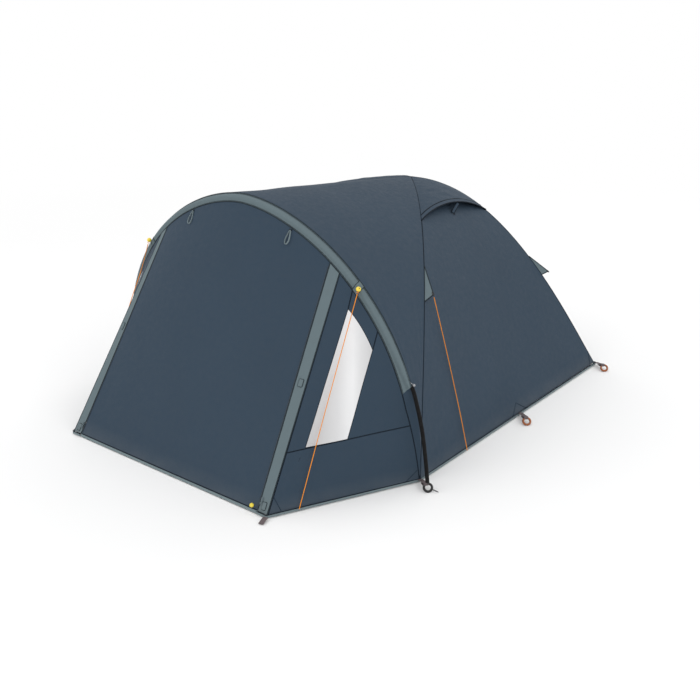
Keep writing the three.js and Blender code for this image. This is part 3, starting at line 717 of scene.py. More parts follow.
def woven(name, colour, thread=0.0016, ripstop=0.0, roughness=0.72, spread=0.08, sheen=0.0):
    """Coated tent cloth: plain weave, perhaps a ripstop grid, fine creases and a slow change of tone."""
    cloth = Surface(name, roughness, Sheen_Weight=sheen, Specular_IOR_Level=0.25)
    fine = cloth.noise(38.0, 4.0)
    tone = cloth.mottled(colour, 1 - spread, 1 + spread, 2.2, 4.0)
    tone = cloth.blend(cloth.remap(fine, 0.35, 0.65, 0.0, 0.12), tone, shaded(colour, 1.35))
    heights = [(cloth.noise(26.0, 5.0), 0.0012, 0.35), (cloth.weave(thread, thread), 0.0002, 0.3)]
    if ripstop:
        cell = [cloth.math("PINGPONG", axis, ripstop / 2) for axis in cloth.split(cloth.flat)[:2]]
        line = cloth.math("LESS_THAN", cloth.math("MINIMUM", *cell), ripstop * 0.05)
        tone = cloth.blend(cloth.math("MULTIPLY", line, 0.25), tone, shaded(colour, 0.75))
        heights.append((line, 0.00015, 0.4))
    height = cloth.split(cloth.place)[2]
    dust = cloth.math("MULTIPLY", cloth.remap(height, 0.0, 0.09, 0.16, 0.0), cloth.noise(9.0, 5.0))
    cloth.colour(cloth.blend(dust, tone, linear(150, 146, 138)))
    cloth.rough(fine, roughness - 0.06, roughness + 0.08)
    cloth.bump(*heights)
    return cloth.material


def seam_look(name, colour, thread):
    """A felled seam: a dark fold of cloth with a row of stitches down it."""
    seam = Surface(name, 0.8, Specular_IOR_Level=0.15)
    u, v, _ = seam.split(seam.flat)
    stitch = seam.math("LESS_THAN", seam.math("FRACT", seam.math("DIVIDE", u, 0.0045)), 0.62)
    off = seam.math("ABSOLUTE", seam.math("SUBTRACT", v, 0.0045))
    sewn = seam.math("MULTIPLY", stitch, seam.math("LESS_THAN", off, 0.0007))
    tone = seam.mottled(colour, 0.8, 1.2, 60.0)
    seam.colour(seam.blend(seam.math("MULTIPLY", sewn, 0.7), tone, thread))
    seam.rough(seam.noise(90.0), 0.68, 0.84)
    seam.bump((sewn, 0.0004, 0.5), (seam.noise(300.0), 0.0002, 0.3))
    return seam.material


def tape_look(name, colour, rib=0.0022):
    """Woven tape and webbing: ribs across it, and threads that wander a little."""
    tape = Surface(name, 0.8, Specular_IOR_Level=0.25)
    weave = tape.weave(rib, rib * 0.8)
    tone = tape.mottled(colour, 0.85, 1.15, 14.0, 4.0)
    tape.colour(tape.blend(tape.remap(weave, -1.0, 1.0, 0.0, 0.3), tone, shaded(colour, 0.6)))
    tape.rough(tape.noise(70.0), 0.72, 0.88)
    tape.bump((weave, 0.0004, 0.5), (tape.noise(120.0), 0.0003, 0.3))
    return tape.material


def moulded(name, colour, roughness=0.4, metallic=0.0, wear=0.15, coat=0.0):
    """Plastic, painted or plain metal: tiny pits, uneven gloss, and wear that lightens raised spots."""
    solid = Surface(name, roughness, metallic, Coat_Weight=coat)
    rub = solid.node("ShaderNodeNewGeometry").outputs["Pointiness"]
    edge = solid.remap(rub, 0.52, 0.62, 0.0, wear)
    tone = solid.mottled(colour, 0.88, 1.12, 55.0, 4.0)
    solid.colour(solid.blend(edge, tone, shaded(colour, 2.2)))
    solid.rough(solid.noise(140.0, 4.0), roughness - 0.07, roughness + 0.12)
    solid.bump((solid.noise(600.0, 3.0), 0.0003, 0.25))
    return solid.material


def braided(name, colour):
    """Braided cord: two sets of strands that cross."""
    cord = Surface(name, 0.75, Specular_IOR_Level=0.2)
    u, v, _ = cord.split(cord.flat)
    sets = [cord.math("SINE", cord.math("MULTIPLY_ADD", u, 1600.0, cord.math("MULTIPLY", v, slope)))
            for slope in (1333.0, -1333.0)]
    strands = cord.math("MULTIPLY", *sets)
    tone = cord.mottled(colour, 0.9, 1.12, 30.0)
    cord.colour(cord.blend(cord.remap(strands, -1.0, 1.0, 0.0, 0.3), tone, shaded(colour, 0.6)))
    cord.bump((strands, 0.0004, 0.5))
    return cord.material


def netting(name, colour):
    """Fine dark mesh cloth, drawn as a weave of holes painted darker: painted shade for the dark space seen
    through them.
    """
    mesh = Surface(name, 0.85)
    cell = 0.003
    place = [mesh.math("PINGPONG", axis, cell / 2) for axis in mesh.split(mesh.flat)[:2]]
    hole = mesh.math("GREATER_THAN", mesh.math("MINIMUM", *place), cell * 0.14)
    # The holes are painted near black: painted shade seen through the mesh.
    mesh.colour(mesh.blend(hole, colour, shaded(colour, 0.25)))
    mesh.bump((hole, 0.0004, 0.6), (mesh.noise(40.0), 0.001, 0.3))
    return mesh.material


def film(name):
    """Frosted window film, with soft upright bands of painted reflection, light and grey, across it."""
    pane = Surface(name, 0.35, Specular_IOR_Level=0.3)
    x, y, _ = pane.split(pane.place)
    along = pane.math("MULTIPLY_ADD", pane.math("ABSOLUTE", x), 0.78, pane.math("MULTIPLY", y, 0.62))
    middle = FEET_Y * 0.62
    across = pane.remap(along, middle + 0.29, middle + 0.61, 0.0, 1.0)
    # Painted reflection: the ramp below lays light and grey upright bands across the pane by place.
    painted_reflection_ramp = pane.node("ShaderNodeValToRGB")
    pane.links.new(across, painted_reflection_ramp.inputs["Fac"])
    stops = ((0.0, 184), (0.25, 196), (0.45, 208), (0.6, 224), (0.68, 227), (0.8, 210), (1.0, 190))
    elements = painted_reflection_ramp.color_ramp.elements
    while len(elements) < len(stops):
        elements.new(0.5)
    for element, (place, tone) in zip(elements, stops):
        element.position = place
        element.color = linear(tone, tone, tone + 1)
    haze = pane.remap(pane.noise(5.0, 4.0), 0.4, 0.7, 0.0, 0.2)
    pane.colour(pane.blend(haze, painted_reflection_ramp.outputs["Color"], linear(205, 207, 209)))
    pane.rough(pane.noise(20.0), 0.28, 0.42)
    pane.bump((pane.noise(14.0, 3.0), 0.001, 0.2), (pane.noise(900.0), 0.0001, 0.2))
    return pane.material


NAVY = linear(45, 61, 76)
GREY = linear(94, 108, 113)
FLY = woven("fly_cloth", NAVY, ripstop=0.0085)
TRIM = woven("trim_cloth", GREY, roughness=0.75, spread=0.05)
SEAM = seam_look("seam_fold", linear(12, 22, 32), linear(40, 54, 66))
FAINT_SEAM = seam_look("patch_fold", linear(30, 43, 56), linear(46, 60, 73))
TRIM_EDGE = seam_look("trim_fold", linear(26, 34, 39), linear(84, 96, 101))
HEM = tape_look("hem_tape", linear(116, 130, 134))
LOOP = tape_look("loop_tape", linear(128, 142, 146))
WEB = tape_look("webbing", linear(105, 95, 97))
CORD = braided("guy_cord", linear(238, 146, 40))
TOGGLE = moulded("toggle", linear(236, 208, 62), roughness=0.35, coat=0.4)
ZIP = moulded("zip_slider", linear(226, 204, 66), roughness=0.4)
SLIDER = moulded("zip_slider_body", linear(88, 101, 107), roughness=0.4, metallic=0.3)
TEETH = moulded("zip_teeth", linear(50, 58, 66), roughness=0.5)
POLE_COVER = tape_look("pole_cover", linear(8, 7, 8), rib=0.003)
POLE = moulded("pole", linear(22, 22, 24), roughness=0.28, coat=0.5, wear=0.05)
FERRULE = moulded("ferrule", linear(150, 152, 155), roughness=0.3, metallic=1.0)
RING = moulded("peg_ring", linear(150, 88, 52), roughness=0.42, metallic=0.4)
BLACK_RING = moulded("corner_ring", linear(16, 15, 16), roughness=0.45)
PIN = moulded("pin_steel", linear(78, 80, 84), roughness=0.35, metallic=0.8)
PANE = film("window_film")
TUB = woven("groundsheet", linear(51, 56, 61), thread=0.0024, roughness=0.5, spread=0.12)
INNER = woven("inner_cloth", linear(176, 181, 184), roughness=0.75, spread=0.05, sheen=0.25)
NET = netting("vent_netting", linear(48, 54, 60))

# ---------- camera, light and floor ----------

LAMPS = {  # place, aim, size in metres and power in watts
    "key": ((-2.5, -5.0, 5.5), (0, 0, 0.4), 5.0, 90),
    "fill": ((6.0, -1.5, 4.0), (0, 0, 0.4), 5.0, 50),
    "rim": ((1.0, 6.0, 4.5), (0, 0, 0.5), 4.0, 40),
}
FLOOR_SIZE, FLOOR_HEIGHT = 120.0, -0.001


def camera():
    turn, rise, distance = math.radians(38.571), math.radians(20.826), 5.91825
    target = np.array([0.0195, 0.16185, 0.22035])
    away = np.array([math.sin(turn) * math.cos(rise), -math.cos(turn) * math.cos(rise), math.sin(rise)])
    data = bpy.data.cameras.new("camera")
    data.lens = 50.175
    data.sensor_width = 36
    data.dof.use_dof = False
    made = bpy.data.objects.new("camera", data)
    made.location = target + away * distance
    made.rotation_euler = (math.pi / 2 - rise, 0, turn)
    bpy.context.scene.collection.objects.link(made)
    bpy.context.scene.camera = made


def area_light(name, place, target, size, power):
    data = bpy.data.lights.new(name, "AREA")
    data.size = size
    data.energy = power
    made = bpy.data.objects.new(name, data)
    made.location = place
    way = np.array(target) - np.array(place)
    turn = math.atan2(way[0], -way[1])
    drop = math.atan2(math.hypot(way[0], way[1]), -way[2])
    made.rotation_euler = (drop, 0, turn + math.pi)
    bpy.context.scene.collection.objects.link(made)


def floor_look():
    """Pale floor that runs into the white of the studio, so that no horizon shows."""
    fade_start, fade_end = 2.6, 7.0
    floor = Surface("floor", 0.9, Specular_IOR_Level=0.1)
    floor.colour(floor.blend(floor.noise(0.6, 2.0), (0.9, 0.9, 0.9, 1), (0.92, 0.92, 0.92, 1)))
    length = floor.node("ShaderNodeVectorMath", operation="LENGTH")
    floor.links.new(floor.place, length.inputs[0])
    far = floor.remap(length.outputs["Value"], fade_start, fade_end, 0.0, 1.0)
    glow = floor.node("ShaderNodeEmission")
    join = floor.node("ShaderNodeMixShader")
    for socket, value in zip(join.inputs, (far, floor.shader.outputs[0], glow.outputs[0])):
        floor.links.new(value, socket)
    floor.links.new(join.outputs[0], floor.nodes["Material Output"].inputs["Surface"])
    return floor.material


def studio():
    world = bpy.data.worlds.new("studio")
    world.use_nodes = True
    background = world.node_tree.nodes["Background"]
    background.inputs["Color"].default_value = (1.0, 1.0, 1.0, 1.0)
    background.inputs["Strength"].default_value = 1.0
    bpy.context.scene.world = world
    for name, (place, target, size, power) in LAMPS.items():
        area_light(name, place, target, size, power)
    bpy.context.scene.view_settings.view_transform = "Standard"
    mesh = bpy.data.meshes.new("floor")
    half = FLOOR_SIZE / 2
    corners = [(-half, -half, 0), (half, -half, 0), (half, half, 0), (-half, half, 0)]
    mesh.from_pydata(corners, [], [(0, 1, 2, 3)])
    mesh.materials.append(floor_look())
    made = bpy.data.objects.new("floor", mesh)
    made.location.z = FLOOR_HEIGHT
    bpy.context.scene.collection.objects.link(made)


camera()

# ---------- guy lines ----------

# Routes from the tie point on the tent down to the hem, in metres back from the arch's feet.
GUY_ROUTES = {
    "guy_line_porch_right": (
        (0.748, -0.092, 0.932), (0.765, -0.259, 0.63), (0.783, -0.427, 0.325), (0.8, -0.592, 0.016)),
    "guy_line_porch_left": (
        (-0.748, -0.092, 0.932), (-0.78, -0.119, 0.803), (-0.857, -0.179, 0.553),
        (-0.894, -0.276, 0.252), (-0.906, -0.366, 0.016)),
    "guy_line_dome_right": (
        (0.843, 0.421, 0.806), (0.912, 0.4185, 0.598), (0.977, 0.417, 0.392),
        (1.037, 0.415, 0.196), (1.087, 0.413, 0.016)),
}
CORD_DIAMETER = 0.004


def on_way(t, t0, t1, a, b):
    """The point at t on the way from a at t0 to b at t1."""
    return (t1 - t) / (t1 - t0) * a + (t - t0) / (t1 - t0) * b


def smooth_route(points, steps):
    """A centripetal Catmull-Rom curve through the points."""
    p = np.asarray(points, float)
    p = np.concatenate([[2 * p[0] - p[1]], p, [2 * p[-1] - p[-2]]])
    out = []
    for k in range(1, len(p) - 2):
        a, b, c, d = p[k - 1 : k + 3]
        gaps = np.linalg.norm(np.diff(p[k - 1 : k + 3], axis=0), axis=1) ** 0.5
        t0, t1, t2, t3 = np.concatenate([[0], np.cumsum(gaps)])
        t = np.linspace(t1, t2, steps + 1)[:, None]
        ab, bc, cd = on_way(t, t0, t1, a, b), on_way(t, t1, t2, b, c), on_way(t, t2, t3, c, d)
        curve = on_way(t, t1, t2, on_way(t, t0, t2, ab, bc), on_way(t, t1, t3, bc, cd))
        out.append(curve if k == len(p) - 3 else curve[:-1])
    return np.concatenate(out)


def guy_line(name, route):
    """The stretch of a guy line from the tent down to the hem, pulled straight."""
    points = smooth_route(route, 40) + np.array([0, FEET_Y, 0])
    shell = sweep(points, circle(CORD_DIAMETER / 2, 12))
    piece = make(f"{name}_cord", shell, CORD, "tent", [name], "guy_cord")
    length = round(float(run_along(points)[-1]), 3)


for cord_name, cord_route in GUY_ROUTES.items():
    guy_line(cord_name, cord_route)

studio()

# ---------- seams ----------


def surface_line(surface, u, v):
    """Points on a surface, and the outward directions there."""
    u, v = np.broadcast_arrays(np.asarray(u, float), np.asarray(v, float))
    step = 2e-3
    across = surface(np.minimum(u + step, 1), v) - surface(np.maximum(u - step, 0), v)
    along = surface(u, np.minimum(v + step, 1)) - surface(u, np.maximum(v - step, 0))
    points = surface(u, v)
    normals = unit(np.cross(across, along))
    return points, normals * away_from_centre(points, normals)


def bead(points, normals, width=0.008, height=0.0014):
    """A sewn fold that stands a little off the cloth."""
    w, h = width / 2, height
    profile = [(-w, -h), (-w, 0.2 * h), (-w * 0.55, h), (w * 0.55, h), (w, 0.2 * h), (w, -h)]
    return sweep(points, profile, normals)


def seam_on(surface, u, v, width=0.008, height=0.0014, lift=0.0):
    """A sewn fold along a line on a surface."""
    points, normals = surface_line(surface, u, v)
    return bead(points + normals * lift, normals, width, height)


def radial(points):
    """Directions away from the middle of the dome."""
    return unit(points - np.array([0, FEET_Y + 1.0, 0.1]))


def fly_seams():
    """Seams over the dome's poles. Near the apex they face more upwards."""
    parts = []
    for leg in (FRONT_LEG, REAR_LEG):
        side = leg_at_height(leg, 1, np.linspace(0.02, APEX_HEIGHT * 0.94, 160))
        crown = leg_point(leg, 1, np.linspace(0.42, 0.0, 90))
        parts += [bead(side, radial(side)), bead(crown, radial(crown) * [1, 1, 2.5])]
    pair("dome_seams", merged(*parts), SEAM)


# ---------- fly of the dome ----------


def dome_fly():
    corners = ((0.02, 0.0), (0.98, 0.0), (0.02, 1.0), (0.98, 1.0))
    roof = sheet(roof_surface, 260, 90, relief=cloth_relief(0.0028, 0.5, 11, corners, 0.002))
    as_cloth(make("fly_roof_cloth", roof, FLY, replaces=["fly_roof"], slot="fly_cloth"))
    relief = cloth_relief(0.0024, 0.45, 23, ((0, 0), (1, 0), (0, 1), (1, 1)), 0.0028)
    side = sheet(side_surface, 120, 110, relief=relief)
    as_cloth(*pair("fly_side_cloth", side, FLY, replaces=["fly_side_"], slot="fly_cloth"))
    relief = cloth_relief(0.0026, 0.45, 31, ((0, 0), (1, 0), (0.5, 1)), 0.0024)
    rear = sheet(rear_surface, 130, 90, relief=relief, span=((0, 1), (0, 0.997)))
    as_cloth(make("fly_rear_cloth", rear, FLY, replaces=["fly_rear"], slot="fly_cloth"))


def vents():
    """The hoods over the two side vents, and the netting under them."""
    def relief(u, v, points):
        return 0.0012 * ripples(points[..., 0] * 2, points[..., 1], 0.16, 5) * inside(u, v)

    hood = sheet(hood_surface, 80, 50, relief=relief)
    as_cloth(*pair("vent_hood_cloth", hood, FLY, replaces=["vent_hood_"], slot="fly_cloth"))
    share = np.linspace(0.0, 1.0, 100)
    brim = sweep(hood_surface(share, 1 + 0 * share), circle(0.0034, 10))
    stitched = seam_on(hood_surface, share, (HOOD_STITCH - 0.03) / 0.97, height=0.0018)
    pair("vent_hood_edge", merged(brim, stitched), SEAM)
    as_cloth(*pair("vent_netting", sheet(vent_surface, 50, 8, thickness=0.0008), NET))
    opening = seam_on(side_surface, np.linspace(0.04, 0.96, 60), 0.9999, 0.012, 0.0018)
    pair("vent_opening_edge", opening, SEAM)


def vent_props():
    """A stiff strip between the side panel and the hood's brim, with a pad sewn under its foot."""
    low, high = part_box("vent_prop_right")
    foot = joint_place("prop_right_fold")
    to_rear = abs(high.y - foot[1]) > abs(low.y - foot[1])
    head = np.array([low.x + 0.006, high.y - 0.006 if to_rear else low.y + 0.006, high.z - 0.004])
    line = mix(foot, head, np.linspace(0, 1, 14))
    facing = np.cross(head - foot, np.cross([0.6, 0.1, 0.8], head - foot))
    pair("vent_prop_binding", sweep(line, flat_tape(0.024, 0.0016, -0.0008), facing), SEAM, body="prop_")
    shell = sweep(line, flat_tape(0.016, 0.003, -0.0015), facing)
    pair("vent_prop_strip", shell, FLY, body="prop_", replaces=["vent_prop_"], slot="fly_cloth")
    place = foot + np.array([-0.004, 0, -0.009])
    ways = [-0.2, 0.97, 0], [-0.78, -0.18, 0.58], [0.57, 0.14, 0.8]
    pair("vent_prop_pad", block(place, *ways, (0.045, 0.026, 0.003), 0.006), SEAM)


# ---------- porch ----------

SIGHT = unit(np.array([0.62, -0.7, 0.355]))  # the way out through the right-hand window
LEVEL = unit(np.cross([0, 0, 1.0], SIGHT))
PLANE = np.array([LEVEL, np.cross(SIGHT, LEVEL)])
CORNER_PATCH_LINES = (  # each end's share across the wall and height
    ((0.001, 0.089), (0.082, 0.02)), ((0.999, 0.071), (0.905, 0.018)))
WALL_SEAM_LEVELS = (0.264, 0.302)  # the cross seam's heights at its front and rear ends
WINDOW_SEAM_ENDS = (0.94, 0.76)  # heights on the arch that the window's top corners are sewn to


def straight_side(surface, first, second, share, bow=(0, 0, 0)):
    """Places (u, v) on a surface that lie in a straight or bowed line as seen from in front of it."""
    a, b = (surface(np.array(float(u)), np.array(float(v))) for u, v in (first, second))
    aim = mix(a, b, share) + (4 * share * (1 - share))[:, None] * np.array(bow, float)
    place = np.array(first, float) + (np.array(second, float) - np.array(first, float)) * share[:, None]
    step = 1e-3
    for _ in range(14):
        u, v = place.T
        here = surface(u, v)
        slopes = [(surface(u + step, v) - here) / step, (surface(u, v + step) - here) / step]
        matrix = np.stack([slope @ PLANE.T for slope in slopes], -1)
        place = place + np.linalg.solve(matrix, ((aim - here) @ PLANE.T)[..., None])[..., 0]
    return place


def hole_sides(surface, corners, steps, bow=(0, 0, 0)):
    """The four sides of a hole, in order: bottom, right, top, left; each (u, v) for shares 0 to 1."""
    top_left, top_right, low_right, low_left = corners
    share = np.linspace(0, 1, steps + 1)
    bottom = straight_side(surface, low_left, low_right, share)
    right = straight_side(surface, low_right, top_right, share)
    top = straight_side(surface, top_right, top_left, share, bow)
    return [bottom, right, top, straight_side(surface, top_left, low_left, share)]


def framed_patches(sides, surface, along, level=1.0):
    """Four patches between a panel's outer edge and the sides of a hole in it.

    The hole's top right corner is joined to the right edge at the height named level.
    """
    top = ((1, 1), (0, 1)) if level == 1 else ((1, level), (1, 1), (0, 1))
    outer = (((0, 0), (1, 0)), ((1, 0), (1, level)), top, ((0, 1), (0, 0)))
    grids = []
    for side, corners in zip(sides, outer):
        share, knots = np.linspace(0, 1, len(side)), np.linspace(0, 1, len(corners))
        rim = np.stack([np.interp(share, knots, [corner[k] for corner in corners]) for k in (0, 1)], -1)
        place = rim[:, None] + (side - rim)[:, None] * np.linspace(0, 1, along + 1)[None, :, None]
        grids.append((place[..., 0], place[..., 1], surface(place[..., 0], place[..., 1])))
    return grids


def wall_surface(u, v):
    return wall_point(PANEL_BOTTOM + v * (WALL_TOP - PANEL_BOTTOM), u)


def wall_v(z):
    return (z - PANEL_BOTTOM) / (WALL_TOP - PANEL_BOTTOM)


def wall_place(share, z):
    """A place on the wall's surface from its share across and its height."""
    return share, wall_v(z)


def wall_relief(u, v, points):
    waves = 0.0022 * ripples(points[..., 1], points[..., 2] * 1.4, 0.36, 41) * inside(u, v)
    return waves + foot_folds(u, v, 0.002)


def framed_skin(grids, relief):
    """One shell from patches that share their edges, by pulling each out to the same relief."""
    return merged(*(skin(points, CLOTH, relief, u, v) for u, v, points in grids))


def hole_patch(sides, surface, grow):
    """The patch that fills a hole: its sides joined across, and drawn a little larger or smaller."""
    bottom, right, top, left = sides
    s = np.linspace(0, 1, len(bottom))[:, None, None]
    t = np.linspace(0, 1, len(right))[None, :, None]
    upright = (1 - t) * bottom[:, None] + t * top[::-1][:, None]
    level = (1 - s) * left[::-1][None] + s * right[None]
    corners = (1 - t) * ((1 - s) * bottom[0] + s * bottom[-1]) + t * ((1 - s) * top[-1] + s * top[0])
    place = upright + level - corners
    place = place + (place - place.mean((0, 1))) * grow
    return place[..., 0], place[..., 1], surface(place[..., 0], place[..., 1])


def laid_bead(surface, relief, places, **size):
    """A sewn line on a panel, through (u, v) places."""
    points, normals = surface_line(surface, places[:, 0], places[:, 1])
    return bead(points + normals * relief(places[:, 0], places[:, 1], points)[:, None], normals, **size)


def wall_seam(first, second, **size):
    places = straight_side(wall_surface, first, second, np.linspace(0, 1, 61))
    return laid_bead(wall_surface, wall_relief, places, **size)


def porch_wall(side, turn):
    """The cloth between the door and the arch, with its window, seams and corner patches."""
    corners = [wall_place(share, z) for z, share in WINDOWS[side]]
    sides = hole_sides(wall_surface, corners, 60, WINDOW_BOW)
    shell = turn(framed_skin(framed_patches(sides, wall_surface, 30, WINDOW_LEVEL), wall_relief))
    cloth = make(f"porch_wall_cloth_{side}", shell, FLY, replaces=[f"porch_wall_{side}"], slot="fly_cloth")
    as_cloth(cloth, flat=panel_flat(wall_surface))
    u, v, points = hole_patch(sides, wall_surface, 0.004)
    pane = turn(skin(points, 0.0008, wall_relief, u, v))
    as_cloth(make(f"window_film_{side}", pane, PANE, replaces=[f"window_{side}"], slot="window_film"))
    seams = [laid_bead(wall_surface, wall_relief, line, width=0.004, height=0.0011) for line in sides]
    lines = [(wall_place(0.999, z), corner) for z, corner in zip(WINDOW_SEAM_ENDS, corners)]
    lines.append([wall_place(share, z) for share, z in zip((0.001, 0.999), WALL_SEAM_LEVELS)])
    seams += [wall_seam(*ends, width=0.007, height=0.0013) for ends in lines]
    rise = np.linspace(0, 0.995, 140)
    for share, width in ((0.999, 0.008), (0.004, 0.005)):
        edge = np.stack([share + 0 * rise, rise], -1)
        seams.append(laid_bead(wall_surface, wall_relief, edge, width=width, height=0.0015))
    make(f"porch_wall_seams_{side}", turn(merged(*seams)), SEAM)
    patches = [wall_seam(*(wall_place(*end) for end in ends), width=0.005, height=0.0012)
               for ends in CORNER_PATCH_LINES]
    make(f"porch_corner_stitching_{side}", turn(merged(*patches)), FAINT_SEAM)


def porch_walls():
    porch_wall("right", lambda shell: shell)
    porch_wall("left", mirrored)


def zip_covers():
    """The pale strips over the zips, with stitched edges and two small tabs on each."""
    def relief(u, v, points):
        return 0.0018 + 0.0006 * np.sin(v * 90) * np.sin(math.pi * u)

    strip = sheet(band_surface, 6, 150, relief=relief, thickness=0.0016)
    as_cloth(*pair("zip_cover_strip", strip, TRIM, replaces=["zip_cover_"], slot="trim_cloth"))
    rise = np.linspace(0, 1, 110)
    edges = [seam_on(band_surface, u, rise, 0.005, 0.0008, 0.0026) for u in (0.03, 0.97)]
    pair("zip_cover_edges", merged(*edges), TRIM_EDGE)
    tabs, outlines = [], []
    for low in ZIP_TAB_PLACES:
        points, normals = surface_line(band_surface, [0.5, 0.5], [low, low + 0.02])
        up, out = points[1] - points[0], normals[0]
        right = np.cross(up, out)
        place = points[0] + out * 0.0036
        tabs.append(block(place + out * 0.001, right, up, out, (0.022, 0.036, 0.003), 0.004))
        outlines.append(block(place, right, up, out, (0.026, 0.04, 0.003), 0.005))
    pair("zip_cover_tabs", merged(*tabs), TRIM)
    pair("zip_cover_tab_stitching", merged(*outlines), TRIM_EDGE)


def slider_parts(side):
    """A zip slider on the strip's inner edge: its parts, and the far side of its pull's ring."""
    middle = middle_of(f"zip_slider_{side}")
    turn = np.array([1 if side == "right" else -1, 1, 1])
    up = unit((BAND_INNER_TOP - BAND_INNER_FOOT) * turn)
    outward = surface_line(band_surface, [0.5], [0.5])[1][0] * turn
    ways = np.cross(up, outward), up, outward
    body = middle + up * 0.0075
    ring = [(0.0035, -0.0016), (0.0072, -0.0016), (0.0078, 0), (0.0072, 0.0016), (0.0035, 0.0016)]
    parts = [
        block(body - outward * 0.0008, *ways, (0.0125, 0.021, 0.0035), 0.004),
        block(body + outward * 0.0022, *ways, (0.0055, 0.014, 0.0032), 0.002),
        lathe(ring, middle - up * 0.0105 + outward * 0.0008, outward, 28),
        block(middle - up * 0.0025 + outward * 0.0015, *ways, (0.004, 0.008, 0.0024), 0.001),
    ]
    return parts, middle - up * 0.0165 + outward * 0.0016


def ball_profile(radius, angle, bore):
    """Half a ball's outline, closed by a hole through it: bore is its (radius, height) points."""
    return [(radius * math.cos(a), radius * math.sin(a)) for a in angle] + bore


def zip_sliders():
    """The right slider has a cord pull with a yellow ball; the left one's pull is plain."""
    for side in ("left", "right"):
        parts, eye = slider_parts(side)
        name = f"zip_slider_{side}"
        make(f"{name}_body", merged(*parts), SLIDER, f"zip_{side}", [name], "zip_slider")
    radius = PULL_BALL_RADIUS
    ball = door_point(*np.array(PULL_BALL_PLACE)) + PULL_BALL_OUT
    bore = [(0.0016, radius * 0.93), (0.0016, -radius * 0.93)]
    way = unit(ball - eye)
    shell = lathe(ball_profile(radius, np.linspace(-1.3, 1.3, 17), bore), ball, way, 40)
    make("zip_pull_ball", shell, ZIP, "zip_right")
    sag = np.array([0, -0.002, -0.002])
    cord = smooth_route([eye, mix(eye, ball, 0.5) + sag, ball, ball + way * (radius + 0.001)], 12)
    make("zip_pull_cord", sweep(cord, circle(0.0012, 10)), TEETH, "zip_right")


def zip_chains():
    """The zip's coil, a row of small teeth along each side of the door."""
    points, normals = surface_line(band_surface, 0, np.linspace(0.012, 0.985, 270))
    up, outward = unit(points[-1] - points[0]), normals[0]
    right = unit(np.cross(up, outward))
    away = outward * 0.0022 - right * np.sign(right[0]) * 0.0035
    teeth = [block(point + away, right, up, outward, (0.0052, 0.0022, 0.0018), 0.0007)
             for point in points]
    pair("zip_teeth", merged(*teeth), TEETH)


def door_relief(u, v, points):
    swell = 0.004 * np.sin(2 * math.pi * u + 0.6) * np.sin(math.pi * v)
    waves = 0.0022 * ripples(points[..., 0], points[..., 2], 0.42, 53)
    return (swell + waves) * inside(u, v) + foot_folds(u, v, 0.0022)


def door():
    """One cloth from the hem to the sleeve."""
    shell = sheet(door_surface, 120, 130, relief=door_relief)
    cloth = make("door_cloth", shell, FLY, body=None, replaces=["door_top", "door_panel"], slot="fly_cloth")
    as_cloth(cloth)
    _, y, z = joint_place("porch_door_lift")
    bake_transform(cloth)
    tape = sheet(door_hem_surface, 120, 3, thickness=0.0028)
    as_cloth(make("door_hem_tape", tape, HEM, "porch_door", ["door_hem"], "trim_cloth"))
    fold = seam_on(door_surface, np.linspace(0.004, 0.996, 120), 0.001, 0.006, 0.001, 0.0012)
    make("door_hem_fold", fold, SEAM, "porch_door")


# ---------- hem, sleeve and poles ----------


def hem():
    """The tape round the fly's foot, rounded along its top edge."""
    door_end = BAND_FOOT_INNER + 0.001
    right = [(door_end, PORCH_Y), (DOOR_HALF, PORCH_Y), (FOOT_HALF, FEET_Y), (REAR_HALF, REAR_Y)]
    corners = np.array(right + [(-x, y) for x, y in reversed(right)])
    line = [corners[0]]
    for a, b, c in zip(corners[:-2], corners[1:-1], corners[2:]):
        line += [b + unit(a - b) * near for near in (0.02, 0.008, 0.002)]
        line += [b + unit(c - b) * near for near in (0.002, 0.008)]
    line.append(corners[-1])
    dense = [line[0]]
    for a, b in zip(line[:-1], line[1:]):
        count = max(1, int(np.linalg.norm(b - a) / 0.02))
        dense += [a + (b - a) * k / count for k in range(1, count + 1)]
    z, half = (HEM_BOTTOM + PANEL_BOTTOM) / 2, (PANEL_BOTTOM - HEM_BOTTOM) / 2
    points = np.column_stack([dense, np.full(len(dense), z)])
    side = [(-HEM_HALF, -half), (-HEM_HALF, half - 0.001), (-0.0004, half)]
    profile = side + [(-x, y) for x, y in reversed(side)]
    tape = sweep(points, profile, [0, 0, 1])
    as_cloth(make("hem_tape_band", tape, HEM, replaces=["hem_tape"], slot="trim_cloth"))
    fold = points + np.array([0, 0, half + 0.0015])
    make("hem_fold", sweep(fold, circle(0.0021, 6)), SEAM)


def sleeve():
    """The pale pole sleeve with its edges, its rows of stitches and a rivet at each end."""
    shell = sheet(sleeve_surface, 1300, 22, thickness=0.001)
    as_cloth(make("pole_sleeve_cloth", shell, TRIM, replaces=["pole_sleeve"], slot="trim_cloth"))
    u = np.linspace(0, 1, 500)
    fold, stitch = (0.0055, 0.0014), (0.0026, 0.0012)
    rows = ((0.012, fold), (0.105, stitch), (0.895, stitch), (0.988, fold))
    edges = [seam_on(sleeve_surface, u, v, *size) for v, size in rows]
    make("pole_sleeve_edges", merged(*edges), TRIM_EDGE)
    end = SLEEVE_END_TURN + SLEEVE_SKEW + 0.012
    _, rear, outward = sleeve_frame(np.array([end]))
    place = rear[0] + outward[0] * 0.004 + np.array([0.013, 0.008, -0.012])
    cap = [(0.0, -0.005), (0.0068, -0.005), (0.0084, 0.0), (0.007, 0.005), (0.004, 0.0074), (0.0, 0.008)]
    stem = rod([rear[0] + outward[0] * 0.003, place], 0.002, 10)
    pair("sleeve_end_rivet", merged(lathe(cap, place, [0.8, -0.3, 0.5], 28), stem), FERRULE)


